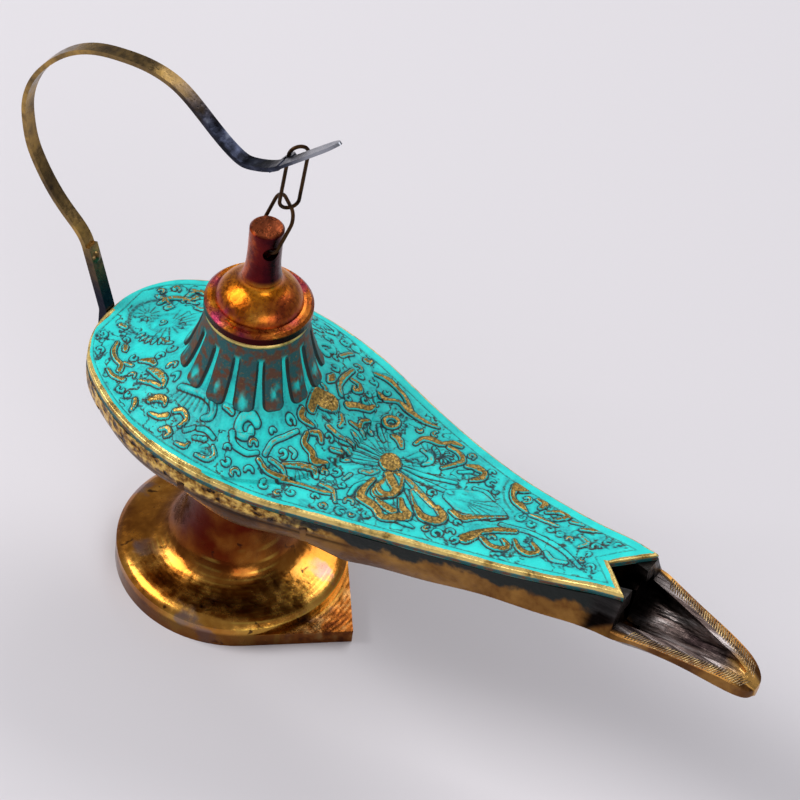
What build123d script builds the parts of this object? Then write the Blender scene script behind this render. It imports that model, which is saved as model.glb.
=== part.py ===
# Brass genie oil lamp: a boat-shaped cast bowl with an open trough spout, a cast cover with a fluted
# neck, a turned lid on two wire links, a bent strap handle and a turned foot with a pointed toe.
# Millimetres, +Z up. The origin is on the axis of the lid and the foot, on the table.
# +X points along the spout, and +Y is to the left of it.
import os
from math import cos, radians, sin, sqrt, tan
from build123d import *

# Bowl and spout
body_back = 41.3          # axis of the lid to the back end of the rim
plate_reach = 108.5       # axis to the two corners beside the notch
trough_length = 33.9      # corners to the nose of the spout
half_width = 31.6         # half of the widest place of the rim
rim_height = 62.2         # top of the cover's edge at the axis
sheer_rise = 8.8          # how much higher the edge is at the notch
keel_height = 35.0        # underside of the bowl at the axis
bowl_wall = 2.4
lobe_relief = 1.2         # how far the lobes stand out over the belly under them
lobe_swell_share = 0.1    # draw-in of a lobe's side where it is fullest, of its draw-in at the edge
flare_share = 0.6         # the same where the side spreads outwards, near the trough
belly_share = 0.35        # fullness of the belly between keel and lobes
spout_belly_share = 0.66  # the same under the spout
notch_width = 2.6         # notch between two lobes
notch_top_drop = 5.0      # rim to the upper end of a notch
notch_lean = 14.0         # the notches follow the drawn-in sides, in degrees
trough_drop = 9.1         # corner of the cover to the rim of the trough
trough_fall = 6.9         # fall of the trough's rim on its way to the nose
trough_half_width = 8.3   # inside, where it leaves the cover
trough_depth = 8.4        # rim to floor, there

# Cover and neck
cover_thickness = 2.2
notch_depth = 8.5
neck_height = 88.6        # top of the neck, where the lid rests
neck_radius = 12.0
neck_lip = 1.2
flute_count = 14
flute_turn = 0.9          # direction of the first groove, in degrees from +X
flute_depth = 0.5
flute_gap = 1.1           # width of the groove between two flutes

# Lid
flange_radius = 13.0
flange_thickness = 3.4
dome_height = 8.0
spigot_radius = 9.5
spigot_length = 3.4
spigot_wall = 1.2
finial_radius = 4.1
finial_height = 15.4
finial_flare = 0.7
chain_hole_radius = 2.0
chain_hole_drop = 5.6     # top of the finial to the middle of the hole
chain_hole_turn = -35.4   # direction of the hole, in degrees from +X
tenon_radius = 2.4

# Chain
wire = 0.9
lower_link_share = 0.534  # outer length of the link, of chain_span
lower_link_width = 10.8
lower_link_corner = 3.2   # bend of the wire's middle line
lower_link_sag = 0.3      # middle of the hole to the wire that lies in it
lower_link_lean = 21.0    # about the hole's axis, in degrees
upper_link_share = 0.758  # outer length of the link, of chain_span
upper_link_width = 5.6
upper_link_corner = 2.3
link_slack = 0.6          # play between the two links, over clearance
upper_link_turn = -39.5   # about its own length, in degrees from facing along X
upper_link_tip = 3.7      # in the link's own plane
eye_radius = 1.25         # hole in the strap's ear for the upper link
ear_margin = 0.9          # metal round that hole

# Handle
strap_width = 3.4
strap_thickness = 1.2
tang_thickness = 1.0
root_drop = 11.7          # rim to the lower end of the strap
knee_rise = 0.3           # rim to where the strap turns away from the bowl
lap_rise = 17.5           # rim to the upper end of the tang
lap_setback = 6.1         # how far the tang leans back over its height
loop_width = 43.6         # lap to the lowest place over the lid, along X
loop_height = 64.3        # lap to the top of the loop
leaf_length = 20.6
leaf_half_width = 1.8
leaf_thickness = 0.8
leaf_rise = 46.0          # slope of the leaf, in degrees
leaf_root_reach = 2.0     # axis of the lid to the root of the leaf
leaf_root_share = 0.869   # height of the leaf's root over the lap, of loop_height
rivet_radius = 0.9
rivet_head_radius = 1.5
rivet_head_height = 0.7
lug_half_width = 3.2
lug_depth = 7.0
lug_gap = 0.5             # top of the lug to the cover

# Foot
foot_radius = 29.2
foot_lip = 6.0
foot_wall = 2.8
foot_height = 33.0
stem_radius = 11.4
toe_reach = 39.8
toe_thickness = 4.0
foot_turn = -6.0          # the toe is a little off the spout's line, as on the real lamp
web_thickness = 10.8
screw_radius = 2.5
screw_head_radius = 4.4
screw_head_height = 2.8
washer_radius = 5.2
washer_thickness = 1.0
boss_radius = 6.5
boss_height = 9.5
thread_depth = 9.0

clearance = 0.08
overrun = 5.0

bowl_depth = rim_height - keel_height
end_height = rim_height + sheer_rise
lid_seat = neck_height
flange_top = lid_seat + flange_thickness
dome_top = flange_top + dome_height
finial_top = dome_top + finial_height
neck_bore_radius = spigot_radius + clearance
chain_hole_height = finial_top - chain_hole_drop
root_height = rim_height - root_drop
root_knee = rim_height + knee_rise
lap_height = rim_height + lap_rise
leaf_root_height = lap_height + loop_height * leaf_root_share
lug_top = rim_height - cover_thickness - lug_gap
chain_span = leaf_root_height - chain_hole_height

# Sections of the bowl from back to front, as shares. The columns are: place (of body_back behind the
# axis, of plate_reach before it), half width of the rim (of half_width), rise of the rim (of
# sheer_rise), half width at the lobes' lower edge (of half_width), rise of that edge and of the keel
# (of bowl_depth).
body_shares = [
    (-0.998, 0.082, 0.08, 0.073, 0.90, 0.83),
    (-0.976, 0.253, 0.08, 0.228, 0.81, 0.70),
    (-0.927, 0.418, 0.08, 0.373, 0.70, 0.56),
    (-0.835, 0.589, 0.08, 0.519, 0.643, 0.40),
    (-0.690, 0.734, 0.08, 0.640, 0.636, 0.235),
    (-0.484, 0.873, 0.08, 0.778, 0.625, 0.11),
    (-0.242, 0.968, 0.057, 0.873, 0.588, 0.026),
    (0.0, 1.0, 0.0, 0.896, 0.588, 0.0),
    (0.023, 0.999, -0.01, 0.896, 0.58, 0.0),
    (0.092, 0.981, -0.034, 0.899, 0.52, 0.007),
    (0.184, 0.927, -0.08, 0.842, 0.49, 0.026),
    (0.286, 0.823, -0.10, 0.747, 0.537, 0.066),
    (0.305, 0.802, -0.10, 0.725, 0.525, 0.076),
    (0.396, 0.703, -0.09, 0.652, 0.47, 0.129),
    (0.507, 0.595, -0.034, 0.551, 0.522, 0.195),
    (0.618, 0.500, 0.08, 0.481, 0.596, 0.257),
    (0.728, 0.424, 0.273, 0.440, 0.706, 0.324),
    (0.839, 0.351, 0.557, 0.415, 0.794, 0.390),
    (0.931, 0.297, 0.864, 0.399, 0.89, 0.441),
    (1.0, 0.253, 1.0, 0.405, 0.94, 0.478),
]

# The same for the trough, with the place as a share of trough_length.
trough_shares = [
    (0.103, 0.367, 1.0, 0.367, 0.93, 0.500),
    (0.310, 0.304, 1.0, 0.304, 0.90, 0.540),
    (0.516, 0.253, 1.0, 0.253, 0.857, 0.577),
    (0.693, 0.209, 1.0, 0.209, 0.80, 0.603),
    (0.841, 0.168, 1.0, 0.168, 0.75, 0.625),
    (0.944, 0.120, 1.0, 0.120, 0.713, 0.636),
    (0.994, 0.040, 1.0, 0.040, 0.706, 0.654),
]

# Rim of the trough: place (of trough_length) and fall (of trough_fall).
trough_rim_shares = [(0.0, 0.0), (0.31, 0.11), (0.63, 0.28), (0.87, 0.53), (0.97, 0.80), (1.04, 1.0)]

# Inside of the trough: place (of trough_length), half width (of trough_half_width) and floor (share of
# trough_depth below the rim).
trough_floor_shares = [
    (-0.04, 1.0, 1.0), (0.10, 0.89, 0.93), (0.28, 0.72, 0.76), (0.46, 0.54, 0.58),
    (0.63, 0.37, 0.39), (0.78, 0.22, 0.22), (0.885, 0.07, 0.10),
]

# Notches between the lobes, as shares of body_back behind the axis and of plate_reach before it.
notch_shares = [-0.66, 0.023, 0.305]

# Strap from the lap to the leaf: shares of loop_width forward and of loop_height up.
loop_shares = [
    (0.0, 0.0), (-0.145, 0.112), (-0.26, 0.193), (-0.34, 0.271), (-0.402, 0.354), (-0.436, 0.448),
    (-0.448, 0.532), (-0.434, 0.608), (-0.39, 0.694), (-0.312, 0.782), (-0.223, 0.855), (-0.12, 0.914),
    (0.004, 0.958), (0.142, 0.984), (0.335, 1.0), (0.513, 0.977), (0.61, 0.939), (0.706, 0.891),
    (0.802, 0.844), (0.89, 0.810), (0.955, 0.798), (1.01, 0.806),
]

# Turned outlines, as shares of their own radius and height.
neck_shares = [(1.0, 0.96), (1.09, 0.755), (1.21, 0.56), (1.36, 0.385), (1.58, 0.26), (1.92, 0.165),
               (2.33, 0.065), (2.56, -0.02)]
dome_shares = [(0.81, 0.02), (0.79, 0.16), (0.71, 0.38), (0.56, 0.58), (0.42, 0.74), (0.37, 0.88)]
foot_shares = [(0.985, 0.195), (0.94, 0.225), (0.87, 0.245), (0.79, 0.255), (0.71, 0.268), (0.63, 0.295),
               (0.55, 0.35), (0.475, 0.475), (0.425, 0.66), (0.40, 0.86)]
hollow_shares = [(0.87, 0.15), (0.70, 0.165), (0.56, 0.20), (0.44, 0.28), (0.35, 0.42), (0.31, 0.58)]

# The leaf from its root: place (of leaf_length) and half width (of leaf_half_width).
leaf_shares = [(-0.17, 0.85), (-0.05, 0.95), (0.15, 1.0), (0.45, 1.0), (0.75, 0.95), (0.92, 0.62)]


def station_x(share):
    return share * (body_back if share < 0 else plate_reach)


def rim_z(rise_share):
    return rim_height + sheer_rise * rise_share


def section(x, top, edge, keel_z, step):
    """One closed cross-section of the hull, across the lamp at x. top and edge are (half width, z)."""
    top_y, top_z = top
    edge_y, edge_z = edge
    draw = lobe_swell_share if edge_y < top_y else flare_share
    side = (top_y + (edge_y - top_y) * draw, (top_z + edge_z * 2) / 3)
    forward = min(max(x / plate_reach, 0), 1)
    fullness = belly_share + (spout_belly_share - belly_share) * forward
    under_y, under_z = edge_y - step, edge_z - step * 0.7
    above = top_z + overrun
    left = Spline((x, top_y, above), (x, top_y, top_z), (x, *side), (x, edge_y, edge_z)).edge()
    right = Spline((x, -edge_y, edge_z), (x, -side[0], side[1]), (x, -top_y, top_z),
                   (x, -top_y, above)).edge()
    belly_z = keel_z + (under_z - keel_z) * fullness
    belly = Spline((x, under_y, under_z), (x, under_y * 0.70, belly_z), (x, 0, keel_z),
                   (x, -under_y * 0.70, belly_z), (x, -under_y, under_z)).edge()
    return Wire([left, Line(left @ 1, belly @ 0).edge(), belly, Line(belly @ 1, right @ 0).edge(),
                 right, Line(right @ 1, left @ 0).edge()])


def hull():
    """The outside of the bowl and the spout, taller than its rim."""
    sections = []
    for length, table in ((0, body_shares), (trough_length, trough_shares)):
        for place, rim, rise, edge, edge_rise, keel in table:
            x = plate_reach + length * place if length else station_x(place)
            step = min(lobe_relief, half_width * edge * 0.3)
            sections.append(section(x, (half_width * rim, rim_z(rise)),
                                    (half_width * edge, keel_height + bowl_depth * edge_rise),
                                    keel_height + bowl_depth * keel, step))
    return Solid.make_loft(sections)


def cavity():
    """The oil space under the cover, open at the front into the trough."""
    sections = []
    mouth = (1 + bowl_wall / plate_reach,) + body_shares[-1][1:]
    for place, rim, rise, edge, edge_rise, keel in body_shares[1:] + [mouth]:
        wall = bowl_wall * (1 if place < 0.8 else 1 + (place - 0.8) * 4)
        x = station_x(place)
        if place < 0:
            x *= (body_back - wall * 1.2) / body_back
        inside = (half_width * min(rim, edge) - wall, rim_z(rise))
        low = (half_width * min(rim, edge) - wall, keel_height + bowl_depth * edge_rise + wall * 0.5)
        sections.append(section(x, inside, low, keel_height + bowl_depth * keel + wall, lobe_relief))
    return Solid.make_loft(sections)


def trough_rim_z(share):
    """Height of the trough's rim, read between the places of its table."""
    table = trough_rim_shares
    share = max(share, table[0][0])
    for (a, fall_a), (b, fall_b) in zip(table, table[1:]):
        if share <= b:
            fall = fall_a + (fall_b - fall_a) * (share - a) / (b - a)
            return end_height - trough_drop - trough_fall * fall
    return end_height - trough_drop - trough_fall


def trough_cut():
    """The channel of the spout, down from its rim."""
    sections = []
    for place, width, depth in trough_floor_shares:
        x = plate_reach + trough_length * place
        half = trough_half_width * width
        rim = trough_rim_z(place)
        floor = rim - trough_depth * depth
        top = rim + trough_depth * 0.3
        curve = Spline((x, half, rim), (x, half * 0.75, floor + (rim - floor) * 0.3), (x, 0, floor),
                       (x, -half * 0.75, floor + (rim - floor) * 0.3), (x, -half, rim))
        edges = [curve.edge(), Line((x, -half, rim), (x, -half, top)).edge(),
                 Line((x, -half, top), (x, half, top)).edge(), Line((x, half, top), (x, half, rim)).edge()]
        sections.append(Wire(edges))
    return Solid.make_loft(sections)


def sheer_points(drop):
    """Points of the rim in side view, lowered by drop."""
    return [(station_x(row[0]), rim_z(row[2]) - drop) for row in body_shares]


def below_rim():
    """Everything below the cover and below the rim of the trough."""
    back = (-body_back - overrun, rim_z(body_shares[0][2]) - cover_thickness)
    top = [back] + sheer_points(cover_thickness)
    trough = [(plate_reach + clearance + trough_length * a, end_height - trough_drop - trough_fall * b)
              for a, b in trough_rim_shares]
    with BuildSketch(Plane.XZ) as side:
        with BuildLine():
            Spline(*top)
            Line(top[-1], trough[0])
            Spline(*trough)
            Polyline(trough[-1], (trough[-1][0], 0), (back[0], 0), back)
        make_face()
    return extrude(side.sketch, half_width * 2, both=True)


def plan_outline():
    """Half widths of the rim from the notch to the back end."""
    side = [(station_x(row[0]), half_width * row[1]) for row in body_shares]
    return list(reversed(side)) + [(-body_back, 0)] + [(x, -y) for x, y in side]


def notch_blades():
    """Square bars that cut the notches between the lobes, on both sides."""
    blades = []
    for share in notch_shares:
        x = station_x(share)
        rows = body_shares
        for (a, half_a, _, _, edge_a, _), (b, half_b, _, _, edge_b, _) in zip(rows, rows[1:]):
            if a <= share <= b:
                part = (share - a) / (b - a)
                half = half_width * (half_a + (half_b - half_a) * part)
                edge_z = keel_height + bowl_depth * (edge_a + (edge_b - edge_a) * part)
        top = rim_height - notch_top_drop
        for side in (1, -1):
            bar = Rot(0, 0, 45) * Box(notch_width / sqrt(2), notch_width / sqrt(2),
                                      top - edge_z + lobe_relief * 3,
                                      align=(Align.CENTER, Align.CENTER, Align.MAX))
            blades.append(Pos(x, side * half, top) * Rot(-side * notch_lean, 0, 0) * bar)
    return blades


def make_bowl():
    body = hull() & below_rim()
    body += stand_pad()
    body -= cavity()
    body -= trough_cut()
    body -= notch_blades()
    body += Pos(0, 0, foot_height) * Cylinder(boss_radius, boss_height,
                                              align=(Align.CENTER, Align.CENTER, Align.MIN))
    body += lug()
    body -= Pos(0, 0, foot_height) * Cylinder(screw_radius + clearance, thread_depth,
                                              align=(Align.CENTER, Align.CENTER, Align.MIN))
    for z in rivet_heights():
        body -= Pos(-body_back - overrun, 0, z) * Rot(0, 90, 0) * Cylinder(
            rivet_radius + clearance, overrun + lug_depth - 2 * clearance,
            align=(Align.CENTER, Align.CENTER, Align.MIN))
    return body


def stand_pad():
    """Round pad under the bowl, that the foot is screwed to."""
    return Pos(0, 0, foot_height) * Cylinder(stem_radius, bowl_wall * 2,
                                             align=(Align.CENTER, Align.CENTER, Align.MIN))


def lug():
    """Cast block at the back end, that the handle is riveted to."""
    back = -body_back - clearance
    with BuildSketch(Plane.XZ) as side:
        with BuildLine():
            Polyline((back, root_height), (back, lug_top), (back + lug_depth, lug_top),
                     (back + lug_depth, root_height), (back + lug_depth * 0.5, root_height - lobe_relief),
                     close=True)
        make_face()
    return extrude(side.sketch, lug_half_width, both=True)


def neck_profile(shift):
    """Outer outline of the neck and its skirt, moved inwards and down by shift."""
    rise = neck_height - rim_height
    return [(neck_radius * r - shift, rim_height + rise * z - shift * 0.6) for r, z in neck_shares]


def make_top_plate():
    points = plan_outline()
    with BuildSketch() as plan:
        with BuildLine():
            Spline(*points)
            Polyline(points[-1], (plate_reach - notch_depth, 0), points[0])
        make_face()
    back = (-body_back - overrun, rim_z(body_shares[0][2]))
    upper = [back] + sheer_points(0)
    lower = [(x, z - cover_thickness) for x, z in upper]
    with BuildSketch(Plane.XZ) as side:
        with BuildLine():
            Spline(*upper)
            Line(upper[-1], lower[-1])
            Spline(*lower)
            Line(lower[0], upper[0])
        make_face()
    plate = extrude(plan.sketch, neck_height) & extrude(side.sketch, half_width * 2, both=True)
    outer = neck_profile(0)
    inner = neck_profile(neck_radius - neck_bore_radius)
    lip = neck_radius + neck_lip * 0.4
    with BuildSketch(Plane.XZ) as skin:
        with BuildLine():
            Polyline((neck_bore_radius, neck_height), (lip, neck_height),
                     (lip, neck_height - neck_lip), outer[0])
            Spline(*outer)
            Polyline(outer[-1], (outer[-1][0], rim_height - cover_thickness * 0.9),
                     (neck_bore_radius, rim_height - cover_thickness * 0.9),
                     (neck_bore_radius, neck_height))
        make_face()
    with BuildSketch(Plane.XZ) as hollow:
        with BuildLine():
            Polyline((0, rim_height - overrun), (0, neck_height + overrun),
                     (neck_bore_radius, neck_height + overrun), inner[0])
            Spline(*inner[:-1])
            Polyline(inner[-2], (inner[-2][0], rim_height - overrun), (0, rim_height - overrun))
        make_face()
    skirt = revolve(skin.sketch, Axis.Z) & extrude(plan.sketch, neck_height * 2)
    cover = plate + skirt - revolve(hollow.sketch, Axis.Z)
    return cover - below_rim() - flute_grooves(outer)


def flute_grooves(outer):
    """Narrow grooves between the flutes, from the lip down to the foot of the neck."""
    line = outer[:4]
    with BuildSketch(Plane.XZ) as band:
        with BuildLine():
            Spline(*[(r - flute_depth, z) for r, z in line])
            Polyline((line[-1][0] - flute_depth, line[-1][1]),
                     (line[-1][0] + overrun, line[-1][1]),
                     (line[0][0] + overrun, line[0][1]), (line[0][0] - flute_depth, line[0][1]))
        make_face()
    blade = extrude(band.sketch, flute_gap / 2, both=True)
    return [Rot(0, 0, flute_turn + 360 / flute_count * i) * blade for i in range(flute_count)]


def dome_points(shift):
    return [(flange_radius * r - shift, flange_top + dome_height * z - shift) for r, z in dome_shares]


def make_lid_cap():
    dome = dome_points(0)
    edge = flange_thickness * 0.2
    top = (finial_radius + finial_flare, dome_top)
    with BuildSketch(Plane.XZ) as half:
        with BuildLine():
            Polyline((tenon_radius + clearance / 2, dome_top), top)
            Spline(top, *reversed(dome))
            Polyline(dome[0], (dome[0][0] + edge, flange_top), (flange_radius - edge, flange_top),
                     (flange_radius, flange_top - edge), (flange_radius, lid_seat + edge),
                     (flange_radius - edge, lid_seat), (spigot_radius + clearance / 2, lid_seat),
                     (spigot_radius + clearance / 2, lid_seat + flange_thickness * 0.6),
                     (spigot_radius - spigot_wall * 2, lid_seat + flange_thickness * 0.6),
                     (tenon_radius + clearance / 2, flange_top + dome_height * 0.55),
                     (tenon_radius + clearance / 2, dome_top))
        make_face()
    return revolve(half.sketch, Axis.Z)


def make_lid_spigot():
    top = lid_seat + flange_thickness * 0.6
    tube = Pos(0, 0, lid_seat - spigot_length) * Cylinder(
        spigot_radius, spigot_length + top - lid_seat, align=(Align.CENTER, Align.CENTER, Align.MIN))
    bore = Pos(0, 0, lid_seat - spigot_length) * Cylinder(
        spigot_radius - spigot_wall, spigot_length + overrun,
        align=(Align.CENTER, Align.CENTER, Align.MIN))
    tube = chamfer(tube.edges().group_by(Axis.Z)[0], spigot_wall * 0.4)
    return tube - bore


def make_lid_finial():
    foot = finial_radius + finial_flare
    edge = finial_radius * 0.12
    tenon_end = flange_top + dome_height * 0.5
    with BuildSketch(Plane.XZ) as half:
        with BuildLine():
            Line((0, finial_top), (finial_radius - edge, finial_top - edge * 0.5))
            Line((finial_radius - edge, finial_top - edge * 0.5), (finial_radius, finial_top - edge * 1.6))
            Spline((finial_radius, finial_top - edge * 1.6),
                   (finial_radius, dome_top + finial_height * 0.3), (foot, dome_top),
                   tangents=[(0, -1), (finial_flare, -finial_radius * 0.5)])
            Polyline((foot, dome_top), (tenon_radius, dome_top), (tenon_radius, tenon_end),
                     (0, tenon_end), (0, finial_top))
        make_face()
    finial = revolve(half.sketch, Axis.Z)
    hole = Pos(0, 0, chain_hole_height) * Rot(0, 0, chain_hole_turn) * Rot(0, 90, 0)
    return finial - hole * Cylinder(chain_hole_radius, finial_radius * 3)


def make_link(width, length, corner):
    """A closed wire link that stands on its lower end, across X, with that end's middle at the origin."""
    across, along = width - wire, length - wire
    with BuildSketch(Plane.YZ) as oval:
        with Locations((0, along / 2)):
            RectangleRounded(across, along, corner)
    path = oval.sketch.face().outer_wire()
    with BuildSketch(Plane(origin=path @ 0, z_dir=path % 0)) as round_wire:
        Circle(wire / 2)
    return sweep(round_wire.sketch, path)


def lower_link_location():
    """The middle of the lower link's lower wire, in the finial's hole, with the link's lean."""
    return (Pos(0, 0, chain_hole_height - lower_link_sag) * Rot(0, 0, chain_hole_turn + 90)
            * Rot(0, lower_link_lean, 0))


def make_lower_link():
    link = make_link(lower_link_width, chain_span * lower_link_share, lower_link_corner)
    return lower_link_location() * link


def upper_link_location():
    """The middle of the upper link's lower wire, just under the lower link's upper wire."""
    reach = chain_span * lower_link_share - wire
    top = (lower_link_location() * Pos(0, 0, reach)).position
    return (Pos(top - Vector(0, 0, wire + clearance + link_slack)) * Rot(0, 0, upper_link_turn)
            * Rot(-upper_link_tip, 0, 0))


def make_upper_link():
    link = make_link(upper_link_width, chain_span * upper_link_share, upper_link_corner)
    return upper_link_location() * link


def leaf_plane():
    angle = radians(leaf_rise)
    return Plane(origin=(leaf_root_reach, 0, leaf_root_height), x_dir=(cos(angle), 0, sin(angle)),
                 z_dir=(-sin(angle), 0, cos(angle)))


def eye_place():
    """Where the upper link's nearer leg goes through the leaf: along it, and to the left of its middle."""
    plane = leaf_plane()
    leg = (wire - upper_link_width) / 2
    low = (upper_link_location() * Pos(0, leg, 0)).position
    direction = (upper_link_location() * Pos(0, leg, wire)).position - low
    share = (plane.origin - low).dot(plane.z_dir) / direction.dot(plane.z_dir)
    place = plane.to_local_coords(low + direction * share)
    return place.X, place.Y


def lap_point():
    """Where the upper end of the tang lies on the strap's line."""
    root = -body_back - clearance - tang_thickness - strap_thickness / 2
    return root - lap_setback, lap_height


def handle_path():
    root = -body_back - clearance - tang_thickness - strap_thickness / 2
    lap = lap_point()
    loop = [(lap[0] + loop_width * a, lap[1] + loop_height * b) for a, b in loop_shares]
    return [(root, root_height), (root, root_knee)], loop


def make_handle_strap():
    root, loop = handle_path()
    plane = leaf_plane()
    leaf_start = (leaf_root_reach, leaf_root_height)
    tip_dir = (cos(radians(leaf_rise)), sin(radians(leaf_rise)))
    lean = (loop[0][0] - root[1][0], loop[0][1] - root[1][1])
    with BuildSketch(Plane.XZ) as side:
        with BuildLine() as centre:
            lower = FilletPolyline(*root, loop[0], radius=strap_width)
            Spline(*loop, leaf_start, tangents=[lean, tip_dir])
        trace(centre.line, strap_thickness)
    strap = extrude(side.sketch, strap_width / 2, both=True)
    left = [(leaf_length * a, leaf_half_width * b) for a, b in leaf_shares]
    right = [(x, -y) for x, y in left]
    eye = eye_place()
    with BuildSketch(plane) as leaf:
        with BuildLine():
            Spline(*left, (leaf_length, 0), *reversed(right))
            Line(right[0], left[0])
        make_face()
        with Locations(eye):
            Circle(eye_radius + ear_margin)
    strap += extrude(leaf.sketch, leaf_thickness / 2, both=True)
    strap -= plane.location * Pos(*eye) * Cylinder(eye_radius, overrun)
    for place in rivet_places():
        strap -= place * Cylinder(rivet_radius + clearance / 2, overrun)
    return strap


def make_handle_tang():
    root, loop = handle_path()
    shift = (strap_thickness + tang_thickness) / 2
    knee = root[1]
    run = sqrt((loop[0][0] - knee[0]) ** 2 + (loop[0][1] - knee[1]) ** 2)
    ux, uz = (loop[0][0] - knee[0]) / run, (loop[0][1] - knee[1]) / run
    bend = shift * (1 - uz) / -ux if ux else 0
    low = (root[0][0] + shift, root[0][1])
    turn = (root[1][0] + shift, root[1][1] + bend)
    end = (loop[0][0] + shift * uz, loop[0][1] - shift * ux)
    with BuildSketch(Plane.XZ) as side:
        with BuildLine() as centre:
            FilletPolyline(low, turn, end, radius=strap_width - shift)
        trace(centre.line, tang_thickness)
    tang = extrude(side.sketch, strap_width / 2, both=True)
    for place in rivet_places():
        tang -= place * Cylinder(rivet_radius + clearance / 2, overrun)
    return tang


def rivet_heights():
    """The two rivets that hold the root to the bowl's lug."""
    height = lug_top - root_height
    return [root_height + height * 0.25, root_height + height * 0.75]


def rivet_places():
    """Axes of all the rivets on the strap: two at the root and one at the lap, +Z outwards."""
    root, loop = handle_path()
    places = [Pos(root[0][0], 0, z) * Rot(0, -90, 0) for z in rivet_heights()]
    dx, dz = loop[0][0] - root[1][0], loop[0][1] - root[1][1]
    run = sqrt(dx * dx + dz * dz)
    x, z = loop[0][0] - dx / run * strap_width, loop[0][1] - dz / run * strap_width
    lap = Plane(origin=(x, 0, z), x_dir=(dx / run, 0, dz / run), z_dir=(-dz / run, 0, dx / run))
    return places + [lap.location]


def make_rivet(place, grip, with_tail):
    """One rivet at a place on the strap, through the strap and grip more of metal behind it."""
    outer = strap_thickness / 2
    inner = strap_thickness / 2 + grip
    rivet = Pos(0, 0, -inner) * Cylinder(rivet_radius, inner + outer,
                                         align=(Align.CENTER, Align.CENTER, Align.MIN))
    rivet += Pos(0, 0, outer) * rivet_dome()
    if with_tail:
        rivet += Pos(0, 0, -inner) * Rot(180, 0, 0) * rivet_dome()
    return place * rivet


def rivet_dome():
    """Low round head that stands on z = 0."""
    radius = (rivet_head_radius ** 2 + rivet_head_height ** 2) / (2 * rivet_head_height)
    ball = Pos(0, 0, rivet_head_height - radius) * Sphere(radius)
    return ball & Cylinder(radius, rivet_head_height, align=(Align.CENTER, Align.CENTER, Align.MIN))


def make_foot():
    outline = [(foot_radius * r, foot_height * z) for r, z in foot_shares]
    hollow = [(foot_radius * r, foot_height * z) for r, z in hollow_shares]
    web_bottom = foot_height - web_thickness
    with BuildSketch(Plane.XZ) as half:
        with BuildLine():
            Polyline((foot_radius - foot_wall, 0), (foot_radius, 0), (foot_radius, foot_lip), outline[0])
            Spline(*outline, (stem_radius, foot_height))
            Polyline((stem_radius, foot_height), (0, foot_height), (0, web_bottom),
                     (hollow[-1][0], web_bottom), hollow[-1])
            Spline(*reversed(hollow))
            Line(hollow[0], (foot_radius - foot_wall, 0))
        make_face()
    foot = revolve(half.sketch, Axis.Z)
    touch = foot_radius * foot_radius / toe_reach
    side = foot_radius * sqrt(1 - (foot_radius / toe_reach) ** 2)
    with BuildSketch() as toe:
        with BuildLine():
            Polyline((touch, side), (toe_reach, 0), (touch, -side), close=True)
        make_face()
        Circle(foot_radius - foot_wall / 2, mode=Mode.SUBTRACT)
    foot += extrude(toe.sketch, toe_thickness)
    foot -= Pos(0, 0, web_bottom - overrun) * Cylinder(
        screw_radius + 2 * clearance, web_thickness + 2 * overrun,
        align=(Align.CENTER, Align.CENTER, Align.MIN))
    return Rot(0, 0, foot_turn) * foot


def make_foot_washer():
    z = foot_height - web_thickness - washer_thickness
    ring = Cylinder(washer_radius, washer_thickness, align=(Align.CENTER, Align.CENTER, Align.MIN))
    hole = Cylinder(screw_radius + 2 * clearance, washer_thickness,
                    align=(Align.CENTER, Align.CENTER, Align.MIN))
    return Pos(0, 0, z) * (ring - hole)


def make_foot_screw():
    under_head = foot_height - web_thickness - washer_thickness
    length = foot_height - under_head + thread_depth * 0.85
    shank = Pos(0, 0, under_head) * Cylinder(screw_radius, length,
                                             align=(Align.CENTER, Align.CENTER, Align.MIN))
    head = Pos(0, 0, under_head - screw_head_height) * Cylinder(
        screw_head_radius, screw_head_height, align=(Align.CENTER, Align.CENTER, Align.MIN))
    head = fillet(head.edges().group_by(Axis.Z)[0], screw_head_height * 0.35)
    slot = Pos(0, 0, under_head - screw_head_height) * Box(
        screw_head_radius * 3, screw_radius * 0.45, screw_head_height * 0.45,
        align=(Align.CENTER, Align.CENTER, Align.MIN))
    return shank + (head - slot)


def main():
    os.makedirs("parts", exist_ok=True)
    places = rivet_places()
    lug_grip = tang_thickness + lug_depth * 0.75
    nodes = {
        "bowl": make_bowl(),
        "top_plate": make_top_plate(),
        "lid_cap": make_lid_cap(),
        "lid_spigot": make_lid_spigot(),
        "lid_finial": make_lid_finial(),
        "lower_link": make_lower_link(),
        "upper_link": make_upper_link(),
        "handle_strap": make_handle_strap(),
        "handle_tang": make_handle_tang(),
        "root_rivets": Compound([make_rivet(p, lug_grip, False) for p in places[:2]]),
        "lap_rivet": make_rivet(places[2], tang_thickness, True),
        "foot": make_foot(),
        "foot_washer": make_foot_washer(),
        "foot_screw": make_foot_screw(),
    }
    for name, shape in nodes.items():
        export_step(shape, f"parts/{name}.step")


main()
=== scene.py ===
"""Looks of a brass genie oil lamp, built over its CAD frame.

The cover and its fluted neck are remade as one dense relief mesh, with a traditional floral scroll
ornament under a turquoise patina that is rubbed through to gold on the raised places. Small ridges
are added across the rim of the spout's trough. Every other piece is the CAD solid with a worn metal
material. The frame is the lamp's own: +X along the spout, +Y to its left, +Z up, origin on the table
under the lid. Shapes are in millimetres, and marks in the metals and the studio in metres.
"""
import math

import bmesh
import bpy
import numpy as np
from mathutils import Matrix, Vector
from mathutils.bvhtree import BVHTree

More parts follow.
